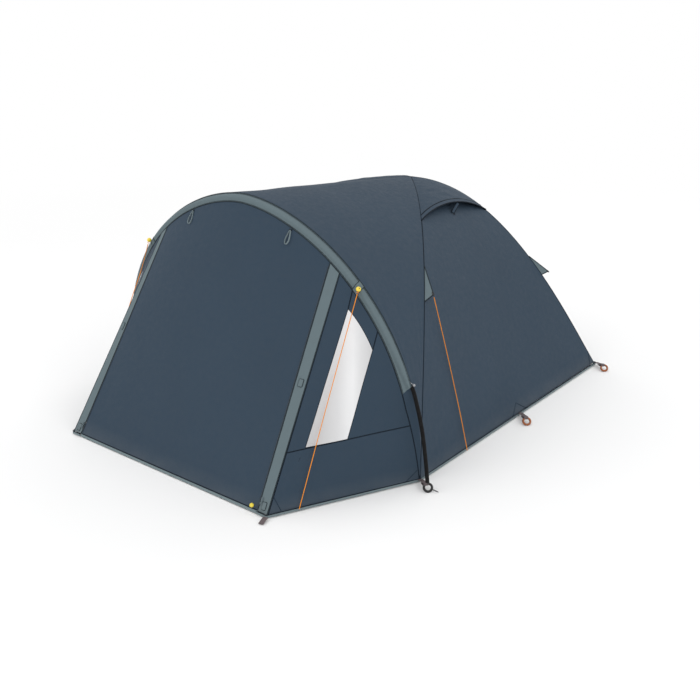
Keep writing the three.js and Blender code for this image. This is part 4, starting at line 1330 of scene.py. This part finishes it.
def cross_patches():
    """A patch across the sleeve under each ball."""
    turn = np.linspace(0, math.pi / 2, 2000)
    at = float(np.interp(-BALL_X, -arch(turn)[:, 0], turn))
    half = 0.016  # half its width, as an arch angle
    start, end = ((at + way * half - SLEEVE_END_TURN) / (math.pi - 2 * SLEEVE_END_TURN) for way in (-1, 1))
    span = ((start, end), (0.02, 0.98))
    pair("guy_patch", sheet(sleeve_surface, 14, 20, CLOTH, raised(0.0012), span), TRIM)
    v = np.linspace(*span[1], 40)
    lines = [seam_on(sleeve_surface, u, v, 0.0042, 0.001, 0.0012) for u in (start, end)]
    pair("guy_patch_stitching", merged(*lines), TRIM_EDGE)


def rod(points, radius=POLE_RADIUS, sides=16):
    return sweep(points, circle(radius, sides))


def ferrule(line, at):
    """A metal sleeve over a pole joint, at a share of its line."""
    half = 0.028
    k = int(at * (len(line) - 1))
    way = unit(line[k + 1] - line[k - 1])
    points = [line[k] + way * s * half for s in (-1, -0.96, 0.96, 1)]
    return rod(points, POLE_RADIUS + 0.0007)


def poles():
    """The porch pole, bare and in a black cover below the sleeve, and the two dome poles."""
    turn = np.linspace(POLE_JOINT_TURN, math.pi - POLE_JOINT_TURN, 260)
    top = porch_pole_point(turn)
    make("porch_pole_top_rod", rod(top), POLE, replaces=["pole_porch_top"], slot="pole")
    make("porch_pole_ferrules", merged(ferrule(top, 0.33), ferrule(top, 0.67)), FERRULE)
    under = list(porch_pole_point(np.array(POLE_UNDER_TURNS)))
    _, rear, outward = sleeve_frame(np.array([POLE_EXIT_TURN]))
    shown = [rear[0] + outward[0] * 0.004, *(from_feet(*place) for place in POLE_END_ROUTE)]
    line = smooth_route([*under, *shown], 18)
    pair("porch_pole_rod", rod(line), POLE, replaces=["pole_porch_"], slot="pole")
    cover = smooth_route([under[-1], *shown], 18)
    pair("porch_pole_cover", rod(cover[17:-8], POLE_COVER_RADIUS, 24), POLE_COVER)
    for part, side, drop in (("upper", 1, 0.0), ("lower", -1, 0.012)):
        line = dome_pole_line(side, drop)
        name = f"dome_pole_{part}_rod"
        make(name, rod(line), POLE, replaces=[f"pole_dome_{part}"], slot="pole")
        joints = [ferrule(line, share) for share in (0.12, 0.27, 0.42, 0.58, 0.73, 0.88)]
        make(f"{name}_ferrules", merged(*joints), FERRULE)


def dome_pole_line(side, drop):
    """From a front corner under the cloth, over the apex, to the far rear corner."""

    def line(t):
        front = t < 0.5
        turn = (1 - np.abs(2 * t - 1)) * (math.pi / 2)
        reach = np.maximum(np.cos(turn), 0)
        return np.where(front[..., None], leg_point(FRONT_LEG, side, reach**0.9),
                        leg_point(REAR_LEG, -side, reach))

    share = np.linspace(0.012, 0.948, 300)  # it stops short of both corners
    points = line(share)
    along = unit(line(share + 2e-3) - line(share - 2e-3))
    inward = np.array([0, FEET_Y + 1.05, 0]) - points
    inward = unit(inward - along * (inward * along).sum(-1, keepdims=True))
    crossing = 0.5  # the poles cross at the apex, and part again that far from it
    near = 1 - np.minimum(np.hypot(points[:, 0], points[:, 1] - APEX_Y) / crossing, 1)
    under_cloth = 0.013
    return points + inward * (under_cloth + drop * near)[:, None]


# ---------- inner tent and groundsheet ----------


def inner_height(v):
    return INNER_LOW + (INNER_TOP - INNER_LOW) * np.sin(v * math.pi / 2)


def inner_v(z):
    return math.asin((z - INNER_LOW) / (INNER_TOP - INNER_LOW)) / (math.pi / 2)


def inner_tent():
    """Three plain walls, and the front one with its doorway, its door and the tape round it."""
    relief = cloth_relief(0.004, 0.35, 61)
    look = {"replaces": ["inner_canopy"], "slot": "inner_cloth"}
    walls = {
        "right": (FRONT_LEG, REAR_LEG, 1, 1),
        "rear": (REAR_LEG, REAR_LEG, 1, -1),
        "left": (REAR_LEG, FRONT_LEG, -1, -1),
    }
    for side, legs in walls.items():
        wall = inner_wall(*legs)
        shell = sheet(lambda u, v, wall=wall: wall(u, inner_height(v)), 70, 50, relief=relief)
        as_cloth(make(f"inner_wall_{side}", shell, INNER, **look))
    front = inner_wall(FRONT_LEG, FRONT_LEG, 1, -1)

    def surface(u, v):
        return front(u, inner_height(v))

    corners = []
    for level, end, ways in (("top", "head", (1, -1)), ("bottom", "foot", (-1, 1))):
        z = INNER_DOOR[level]
        half = front(np.array(0.0), np.array(z))[0]
        corners += [((half - way * INNER_DOOR[end]) / (2 * half), inner_v(z)) for way in ways]
    sides = hole_sides(surface, corners, 50)
    shell = framed_skin(framed_patches(sides, surface, 24), relief)
    as_cloth(make("inner_wall_front", shell, INNER, **look), flat=panel_flat(surface))
    u, v, points = hole_patch(sides, surface, -0.006)
    door_shell = skin(points, CLOTH, relief, u, v)
    as_cloth(make("inner_door_cloth", door_shell, INNER, "inner_door", ["inner_door"], "inner_cloth"))
    border = [seam_on(surface, *side.T, 0.012, 0.002) for side in sides]
    make("inner_doorway_tape", merged(*border), TRIM_EDGE)


def groundsheet():
    """A floor with a raised edge. Its corners are square, as folded sheet is."""
    corners = []
    for leg, side in ((FRONT_LEG, 1), (REAR_LEG, 1), (REAR_LEG, -1), (FRONT_LEG, -1)):
        x, y, _ = leg_at_height(leg, side, TUB_HEIGHT / INNER_RISE)
        corners.append(np.array([x * INNER_PLAN, INNER_MIDDLE_Y + (y - INNER_MIDDLE_Y) * INNER_PLAN]))
    line = []
    for a, b in zip(corners, corners[1:] + corners[:1]):
        count = int(np.linalg.norm(b - a) / 0.04)
        line += [a + (b - a) * i / count for i in range(count)]
    line = np.array(line)
    middle = line.mean(0)
    wave = np.abs(0.0018 * ripples(line[:, 0], line[:, 1], 0.2, 71))
    levels = (  # inset, height and share of the wave, up the outer face and down the inner one
        (0.0018, 0.002, 0), (0.0, 0.004, 0), (0.0, TUB_HEIGHT / 2, 1), (0.0, TUB_HEIGHT, 1),
        (0.0028, TUB_HEIGHT, 1), (0.0028, TUB_HEIGHT / 2, 1), (0.003, 0.0045, 0), (0.006, 0.002, 0))
    rings = []
    for inset, z, share in levels:
        plan = line + unit(middle - line) * (inset + share * wave)[:, None]
        rings.append(np.column_stack([plan, np.full(len(line), z)]))
    count = len(line)
    faces = grid_faces(len(rings) + 1, count, closed=True) % (len(rings) * count)
    rise = np.repeat([[0, 0], [0, 0.01], [0, 0.05], [0, 0.1]] * 2, count, axis=0)
    uv = np.tile(line, (len(rings), 1)) + rise
    wall = {"v": np.concatenate(rings), "f": [faces], "uv": uv}

    def floor(u, v):
        plan = mix(mix(corners[3], corners[0], u), mix(corners[2], corners[1], u), v)
        plan = middle + (plan - middle) * 0.997
        lumps = 0.0012 * (1 + ripples(plan[..., 0], plan[..., 1], 0.25, 73)) * inside(u, v, 0.4)
        return stack(plan[..., 0], plan[..., 1], 0.0021 + np.maximum(lumps, 0))

    shell = merged(wall, sheet(floor, 60, 56, thickness=0.0018))
    piece = make("groundsheet_cloth", shell, TUB, replaces=["groundsheet_tub"], slot="groundsheet")
    area = float(np.linalg.norm(corners[0] - corners[3]) * np.linalg.norm(corners[1] - corners[0]))
    width = 2.0 * abs(corners[0][0]) + 2 * TUB_HEIGHT
    depth = abs(corners[1][1] - corners[0][1]) + 2 * TUB_HEIGHT
    area = round(min(area + 2 * TUB_HEIGHT * (width + depth - 4 * TUB_HEIGHT), width * depth), 3)


# ---------- straps, rings, pins, tabs and loops ----------

RING_FACING = unit(np.array([0.44, -0.555, 0.706]))
RING_RADIUS, RING_WIRE = 0.0198, 0.006
HEM_POINTS = {"corner": (1.0745, -0.003), "side": (1.07, 1.004), "rear": (1.0625, 1.996)}
STRAP_HEIGHT = 0.015
STRAP_SECTION = flat_tape(0.026, 0.0018, -0.0009)


def rings_and_straps():
    """The right-hand rings at the hem, each with its strap, and their mirror images."""
    for name, at in HEM_POINTS.items():
        centre, anchor = middle_of(f"ring_{name}_right"), from_feet(*at, STRAP_HEIGHT)
        reach = anchor - centre
        reach = unit(reach - RING_FACING * (reach @ RING_FACING))
        side = np.cross(RING_FACING, reach)
        corner = name == "corner"
        pair(f"ring_{name}_wire", hoop(centre, RING_RADIUS, reach, side, RING_WIRE, 56, 14),
             BLACK_RING if corner else RING, "tent" if corner else f"{name}_ring_",
             [f"ring_{name}_"], "corner_ring" if corner else "peg_ring")
        strap(name, anchor, centre + reach * RING_RADIUS)


def strap(name, anchor, eye):
    """Webbing from the hem round the near side of a ring and back, tacked together."""
    outward = unit(eye - anchor)
    up = unit(np.cross(outward, np.cross([0, 0, 1.0], outward)))
    wrap = RING_WIRE + 0.0014
    path = [anchor - outward * 0.004 + up * 0.0015, mix(anchor, eye, 0.5) + up * 0.003,
            eye - outward * 0.009 + up * wrap]
    for step in range(7):
        bend = math.pi / 2 - step * math.pi / 6
        path.append(eye + wrap * (math.cos(bend) * outward + math.sin(bend) * up))
    path += [eye - outward * 0.009 - up * wrap, mix(anchor, eye, 0.5) - up * 0.0022]
    web = sweep(path, STRAP_SECTION, strap_normals(path))
    pair(f"strap_{name}_web", web, WEB, replaces=[f"strap_{name}_"], slot="webbing")
    place = mix(anchor, eye, 0.3) + up * 0.0022
    tack = block(place, np.cross(outward, up), outward, up, (0.015, 0.006, 0.0026), 0.0012)
    pair(f"strap_{name}_bartack", tack, TRIM_EDGE)


def strap_normals(path):
    """Outward along a strap that doubles back round a ring, worked out from its own bends."""
    path = np.array(path)
    ahead = np.gradient(path, axis=0)
    across = np.cross(path[-1] - path[0], path[len(path) // 2] - path[0])
    return unit(np.cross(unit(across), unit(ahead)))


def porch_strap():
    """The short strap that shows at the porch's right corner."""
    line = mix(from_feet(0.724, -0.737, 0.0125), from_feet(0.738, -0.787, 0.0045), np.linspace(0, 1, 8))
    line[:, 2] += 0.002 * np.sin(np.linspace(0, math.pi, 8))
    make("strap_porch_web", sweep(line, STRAP_SECTION, [0, 0.1, 1]), WEB,
         replaces=["strap_porch_right"], slot="webbing")


def pins():
    """A wire pin whose inner end is bent round the ring's eye."""
    tip, centre = from_feet(1.206, -0.036, 0.005), from_feet(1.154, -0.05, 0.0184)
    way = unit(tip - centre)
    start = centre + way * (RING_RADIUS + RING_WIRE + 0.0008)
    shaft = [start + way * 0.0005, start + way * 0.004, start + way * 0.012, tip - way * 0.004]
    wire = sweep(smooth_route(shaft, 10), circle(0.0025, 12))
    point = sweep([tip - way * 0.004, tip], circle(0.0016, 10))
    collar = sweep([start + way * 0.002, start + way * 0.0055], circle(0.0036, 14))
    pair("ground_pin_wire", merged(wire, point, collar), PIN, "pin_", ["ground_pin_"], "pin_steel")


def guy_tab(name, leg, top_height, low_height, reach):
    """A cloth triangle with its edges folded over and a loop of cord at its tip."""
    outward = unit(np.array(reach))
    top, low = (leg_at_height(leg, 1, z) + outward * 0.004 for z in (top_height, low_height))
    tip = leg_at_height(leg, 1, (top_height + low_height) / 2) + np.array(reach)
    s, t = np.meshgrid(np.linspace(0, 1, 13), np.linspace(0, 0.94, 13), indexing="ij")
    shell = skin(mix(mix(top, low, s), tip, t), 0.0018)
    pair(f"guy_tab_{name}_cloth", shell, TRIM, replaces=[f"guy_tab_{name}_"], slot="trim_cloth")
    normal, fold = unit(np.cross(low - top, tip - top)), flat_tape(0.0075, 0.0032, -0.0016)
    edges = [sweep(mix(start, tip, np.linspace(0, 0.97, 24)), fold, normal) for start in (top, low)]
    pair(f"guy_tab_{name}_fold", merged(*edges), TRIM_EDGE)
    eye = hoop(tip - outward * 0.004, 0.008, outward, unit(top - low), 0.0022, 24, 8)
    pair(f"guy_tab_{name}_eye", eye, BLACK_RING)


def toggles():
    """A ball with a hole through it and the guy line's knot round its neck."""
    low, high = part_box("guy_toggle_right")
    centre, radius = middle_of("guy_toggle_right"), (high.x - low.x) / 2
    bore = radius * 0.25
    hole = [(bore, radius * 0.9), (bore * 0.9, 0), (bore, -radius * 0.9)]
    ball = lathe(ball_profile(radius, np.linspace(-1.25, 1.25, 15), hole), centre, [0.75, -0.25, 0.6], 40)
    pair("guy_toggle_ball", ball, TOGGLE, replaces=["guy_toggle_"], slot="toggle")
    tie = from_feet(*GUY_ROUTES["guy_line_porch_right"][0])
    pair("guy_knot", knot(tie, centre), CORD)


def knot(tie, centre):
    """Two turns of cord where the guy line is tied under its ball."""
    way = unit(centre - tie)
    side = unit(np.cross(way, [0, 1, 0.3]))
    turns = [hoop(tie + (centre - tie) * share, size, side, np.cross(way, side), 0.0016, 28, 8)
             for share, size in ((0.25, 0.0052), (0.55, 0.0046))]
    return merged(*turns)


def door_loops():
    """Hanging loops of tape that hold the rolled door."""
    top = edge_at_x(0.344)
    angle = np.arange(64) * 2 * math.pi / 64
    drop = 1 - np.sin(angle)
    half = 0.004 + 0.0085 * np.minimum(drop / 1.6, 1)
    offset = stack(np.cos(angle) * half, -0.0105 - drop * 0.018, -0.0105 - drop * 0.03)
    line = top + offset
    lean = unit(np.array([0, -0.03, 0.018]))
    out = unit(line - line.mean(0))
    out = unit(out - lean * (out @ lean)[:, None])
    tape = sweep(line, flat_tape(0.009, 0.0022), out, closed=True)
    pair("door_loop_tape", tape, LOOP, "loop_", ["door_loop_"], "trim_cloth")
    place = top - np.array([0, 0.0085, 0.0075])
    tack = block(place, [1, 0, 0], [0, 0.2, 1], [0, -1, 0.3], (0.016, 0.009, 0.003), 0.002)
    pair("door_loop_bartack", tack, TRIM_EDGE)


def reinforcements():
    """Doubled triangles of cloth where the straps pull on the hem."""
    s, t = np.meshgrid(np.linspace(-1, 1, 13), np.linspace(0, 1, 9), indexing="ij")
    parts = []
    for u in (0.0, 0.5, 1.0):
        grid = side_surface(np.clip(u + s * 0.032 * (1 - t), 0, 1), t * 0.052)
        parts.append(skin(grid, CLOTH, raised(0.0011), s, t))
    pair("hem_reinforcement", merged(*parts), FLY)
    share = np.linspace(0, 1, 16)
    edges = []
    for foot, top, height in ((0.47, 0.507, 0.04), (0.545, 0.507, 0.04), (0.972, 0.999, 0.045)):
        edges.append(seam_on(side_surface, foot + (top - foot) * share, height * share, 0.005, 0.001, 0.0016))
    pair("hem_reinforcement_stitching", merged(*edges), FAINT_SEAM)


fly_seams()
dome_fly()
vents()
vent_props()
porch_walls()
zip_covers()
zip_sliders()
zip_chains()
door()
hem()
sleeve()
cross_patches()
poles()
inner_tent()
groundsheet()
rings_and_straps()
porch_strap()
pins()
guy_tab("front", FRONT_LEG, 0.93, 0.798, (0.063, -0.004, -0.046))
guy_tab("rear", REAR_LEG, 0.707, 0.593, (0.058, 0.07, -0.046))
toggles()
door_loops()
reinforcements()
